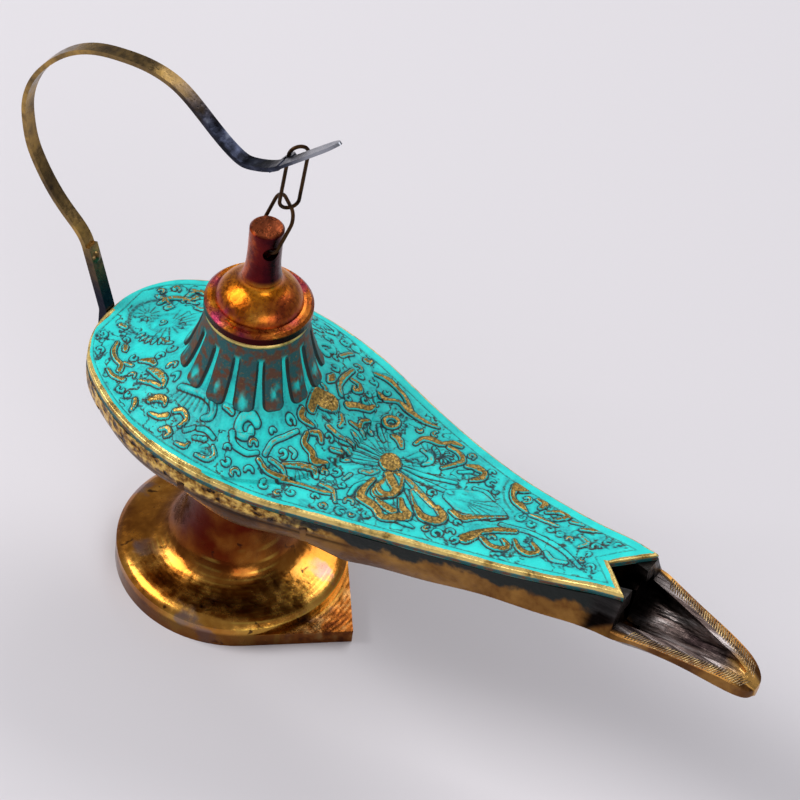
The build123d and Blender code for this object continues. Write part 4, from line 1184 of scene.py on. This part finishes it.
def foot_metal():
    """Turned brass: painted dark reflection and shade, red brown, in the neck, golden at the rounding,
    with turning lines and pits, and painted shade low on the lip.
    """
    m = aged_metal("foot_brass")
    x, y, z = (m.axis(name) for name in "XYZ")
    radius = m.from_axis(x, y)
    # painted dark reflection of the bowl and painted shade, red brown, in the foot's neck
    dark_reflection = m.times(m.until(radius, REFLECTION_WITHIN), m.until(z, REFLECTION_TO_HEIGHT, rest=0.4))
    dark_reflection = m.times(dark_reflection, m.span(m.noise(90, 3), 0.3, 0.6, 0.6, 1.0))
    colour = m.mix(dark_reflection, m.colour, (84, 22, 8))
    rings = m.math("SINE", m.plus(m.times(radius, TURNING_LINES), m.times(m.noise(1.0, 2), 2.0)))
    arcs = m.times(m.span(rings, 0.2, 0.95), m.span(m.noise(60, 3), 0.5, 0.66))
    colour = m.mix(m.times(arcs, 0.28), colour, (236, 206, 96))
    pits = m.span(m.noise(230, 3, None, 0.8), 0.66, 0.72)
    colour = m.mix(m.times(pits, 0.85), colour, (52, 26, 18))
    smear = m.times(m.span(m.noise(95, 4), 0.60, 0.70), m.span(radius, *SMEAR_FROM))
    colour = m.mix(m.times(smear, 0.6), colour, (120, 112, 124))
    toe_colour = m.ramp(m.noise(420, 5, (1.0, 0.6, 0.8)), TOE_COLOURS)
    colour = m.mix(m.span(radius, *TOE_FROM), colour, toe_colour)
    # painted shade on the lower rounding of the lip
    colour = m.mix(m.times(m.until(z, LIP_SHADE_TO_HEIGHT), 0.72), colour, (70, 34, 14))
    m.set("Base Color", colour)
    under = m.bump(m.fine, 0.25, METAL_GRAIN)
    m.set("Normal", m.bump(m.times(rings, 0.25), 0.08, TURNING_DEPTH, under))
    return m.material


# Marks of the lid in metres: flange and dome by distance from the axis, painted shade along X, the
# rest by height, and the finial's painted change from lit orange to shaded maroon, to a metre
FLANGE_FROM = (0.0085, 0.0105)
LID_SHADE_ALONG = (-0.002, 0.008)
LID_SHADE_FROM = (0.005, 0.0075)
FLANGE_TO_HEIGHT = (0.0908, 0.0916)
FLANGE_SIDE = (0.0126, 0.0129)
FINIAL_FROM = (0.0985, 0.1015)
FINIAL_TOP = (0.1146, 0.1152)
FINIAL_SHADE_RATE = 60.0
FINIAL_LIT_TO_SHADED = [(0.18, (196, 84, 20)), (0.38, (96, 22, 22)), (0.62, (60, 12, 20))]


def lid_metal():
    """Heat-tinted copper red: amber dome with painted shade on its side away from the light, magenta
    flange with a maroon side, maroon finial painted orange on its lit side.
    """
    m = aged_metal("lid_copper")
    x, y, z = (m.axis(name) for name in "XYZ")
    radius = m.from_axis(x, y)
    tint = m.times(m.span(m.noise(100, 4), 0.46, 0.62), m.span(radius, *FLANGE_FROM))
    colour = m.mix(m.times(tint, 0.85), m.colour, (150, 40, 84))
    # painted shade on the dome's side away from the light
    lid_shade = m.times(m.span(x, *LID_SHADE_ALONG), m.span(radius, *LID_SHADE_FROM, 0.0, 0.45))
    colour = m.mix(lid_shade, colour, (112, 30, 40))
    side = m.times(m.until(z, FLANGE_TO_HEIGHT), m.span(radius, *FLANGE_SIDE))
    colour = m.mix(side, colour, (58, 8, 12))
    # painted light and shade across the finial: orange on its lit side, maroon on its shaded side
    finial = m.ramp(m.plus(m.times(x, FINIAL_SHADE_RATE), m.times(m.noise(200, 4), 0.8)), FINIAL_LIT_TO_SHADED)
    finial = m.mix(m.span(z, *FINIAL_TOP), finial, (128, 62, 34))
    m.set("Base Color", m.mix(m.span(z, *FINIAL_FROM), colour, finial))
    return m.material


# Marks of the strap in metres: its front and tip along X, its root by height
STRAP_FRONT = (-0.032, -0.016)
STRAP_TIP = (0.003, 0.012)
STRAP_ROOT = (0.066, 0.082)
STRAP_BLUES = [(0.4, (18, 19, 26)), (0.6, (50, 54, 70)), (0.8, (126, 132, 146))]


def strap_metal():
    """Rolled strip: gold at the back and over the top, blue black down the front, silver at the tip."""
    m = aged_metal("strap_brass")
    x, z = m.axis("X"), m.axis("Z")
    colour = m.mix(m.span(x, *STRAP_FRONT), m.colour, m.ramp(m.noise(240, 4), STRAP_BLUES))
    colour = m.mix(m.span(x, *STRAP_TIP), colour, (150, 152, 160))
    colour = m.mix(m.until(z, STRAP_ROOT), colour, (24, 26, 40))
    m.set("Base Color", colour)
    return m.material


def camera():
    """The camera of the photograph, placed by one point of the lid's axis and its pixel."""
    a, e, roll = CAMERA_AZIMUTH, CAMERA_ELEVATION, CAMERA_ROLL
    back = Vector((math.sin(a) * math.cos(e), -math.cos(a) * math.cos(e), math.sin(e)))
    right = Vector((math.cos(a), math.sin(a), 0))
    up = back.cross(right)
    side = right * math.cos(roll) + up * math.sin(roll)
    top = up * math.cos(roll) - right * math.sin(roll)
    distance = FOCAL_PIXELS / PIXELS_PER_MM
    half = PHOTO_PIXELS / 2
    place = (ANCHOR_POINT + back * distance - side * ((ANCHOR_PIXEL[0] - half) / PIXELS_PER_MM)
             + top * ((ANCHOR_PIXEL[1] - half) / PIXELS_PER_MM))
    data = bpy.data.cameras.new("photo_camera")
    data.sensor_width = SENSOR_WIDTH
    data.lens = FOCAL_PIXELS / PHOTO_PIXELS * SENSOR_WIDTH
    data.clip_start, data.clip_end = CAMERA_CLIP
    cam = bpy.data.objects.new("photo_camera", data)
    bpy.context.scene.collection.objects.link(cam)
    turn = Matrix((side, top, back)).transposed()
    cam.matrix_world = Matrix.Translation(place * MM) @ turn.to_4x4()
    bpy.context.scene.camera = cam


# Studio in metres. Lights: name, place, width and height, watts
FLOOR_REACH = 4.0
FLOOR_GREY = (214, 210, 214)
WORLD_GREY = (228, 230, 236)
WORLD_STRENGTH = 0.42
LIGHT_TARGET = Vector((0.03, 0, 0.06))
LIGHTS = [
    ("key_left", (-0.75, -0.35, 0.95), (0.55, 0.55), 11),
    ("fill_right", (0.9, -0.6, 0.5), (0.7, 0.5), 3.5),
    ("top_back", (0.1, 0.8, 0.9), (0.9, 0.4), 5),
]


def area_light(name, place, size, power):
    data = bpy.data.lights.new(name, "AREA")
    data.shape = "RECTANGLE"
    data.size, data.size_y = size
    data.energy = power
    light = bpy.data.objects.new(name, data)
    light.location = place
    light.rotation_mode = "QUATERNION"
    light.rotation_quaternion = (LIGHT_TARGET - Vector(place)).to_track_quat("-Z", "Y")
    bpy.context.scene.collection.objects.link(light)


def studio():
    floor_mesh = bpy.data.meshes.new("floor")
    corners = [(x * FLOOR_REACH, y * FLOOR_REACH, 0) for x, y in ((-1, -1), (1, -1), (1, 1), (-1, 1))]
    floor_mesh.from_pydata(corners, [], [(0, 1, 2, 3)])
    floor = bpy.data.objects.new("floor", floor_mesh)
    bpy.context.scene.collection.objects.link(floor)
    m = Shader("floor_paper")
    m.set("Base Color", FLOOR_GREY)
    m.set("Roughness", 0.9)
    floor_mesh.materials.append(m.material)
    world = bpy.data.worlds.new("studio")
    world.use_nodes = True
    background = world.node_tree.nodes["Background"]
    background.inputs["Color"].default_value = srgb(*WORLD_GREY)
    background.inputs["Strength"].default_value = WORLD_STRENGTH
    bpy.context.scene.world = world
    for light in LIGHTS:
        area_light(*light)


def main():
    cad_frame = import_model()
    scene = bpy.context.scene
    scene.view_settings.view_transform = "Standard"
    camera()
    studio()
    for row in FILLERS:
        ORNAMENT.extend(place_fillers(ORNAMENT, *row))
    cover = make_cover()
    cover.data.materials.append(patina())
    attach(cover, "lamp")
    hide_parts("top_plate")
    brass, wire = aged_metal("plain_brass").material, aged_metal("chain_wire").material
    bowl, foot, lid, strap = bowl_metal(), foot_metal(), lid_metal(), strap_metal()
    by_node = {
        "bowl": bowl, "foot": foot, "lid_cap": lid, "lid_finial": lid, "lid_spigot": brass,
        "lower_link": wire, "upper_link": wire, "handle_strap": strap, "handle_tang": strap,
        "root_rivets": strap, "lap_rivet": strap, "foot_washer": brass, "foot_screw": brass,
        "top_plate": brass,
    }
    for node, metal in by_node.items():
        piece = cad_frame["nodes"][node]
        piece.data.materials.clear()
        piece.data.materials.append(metal)
    reeding = make_reeding(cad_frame["nodes"]["bowl"])
    reeding.data.materials.append(aged_metal("reed_brass").material)
    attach(reeding, "lamp")


main()
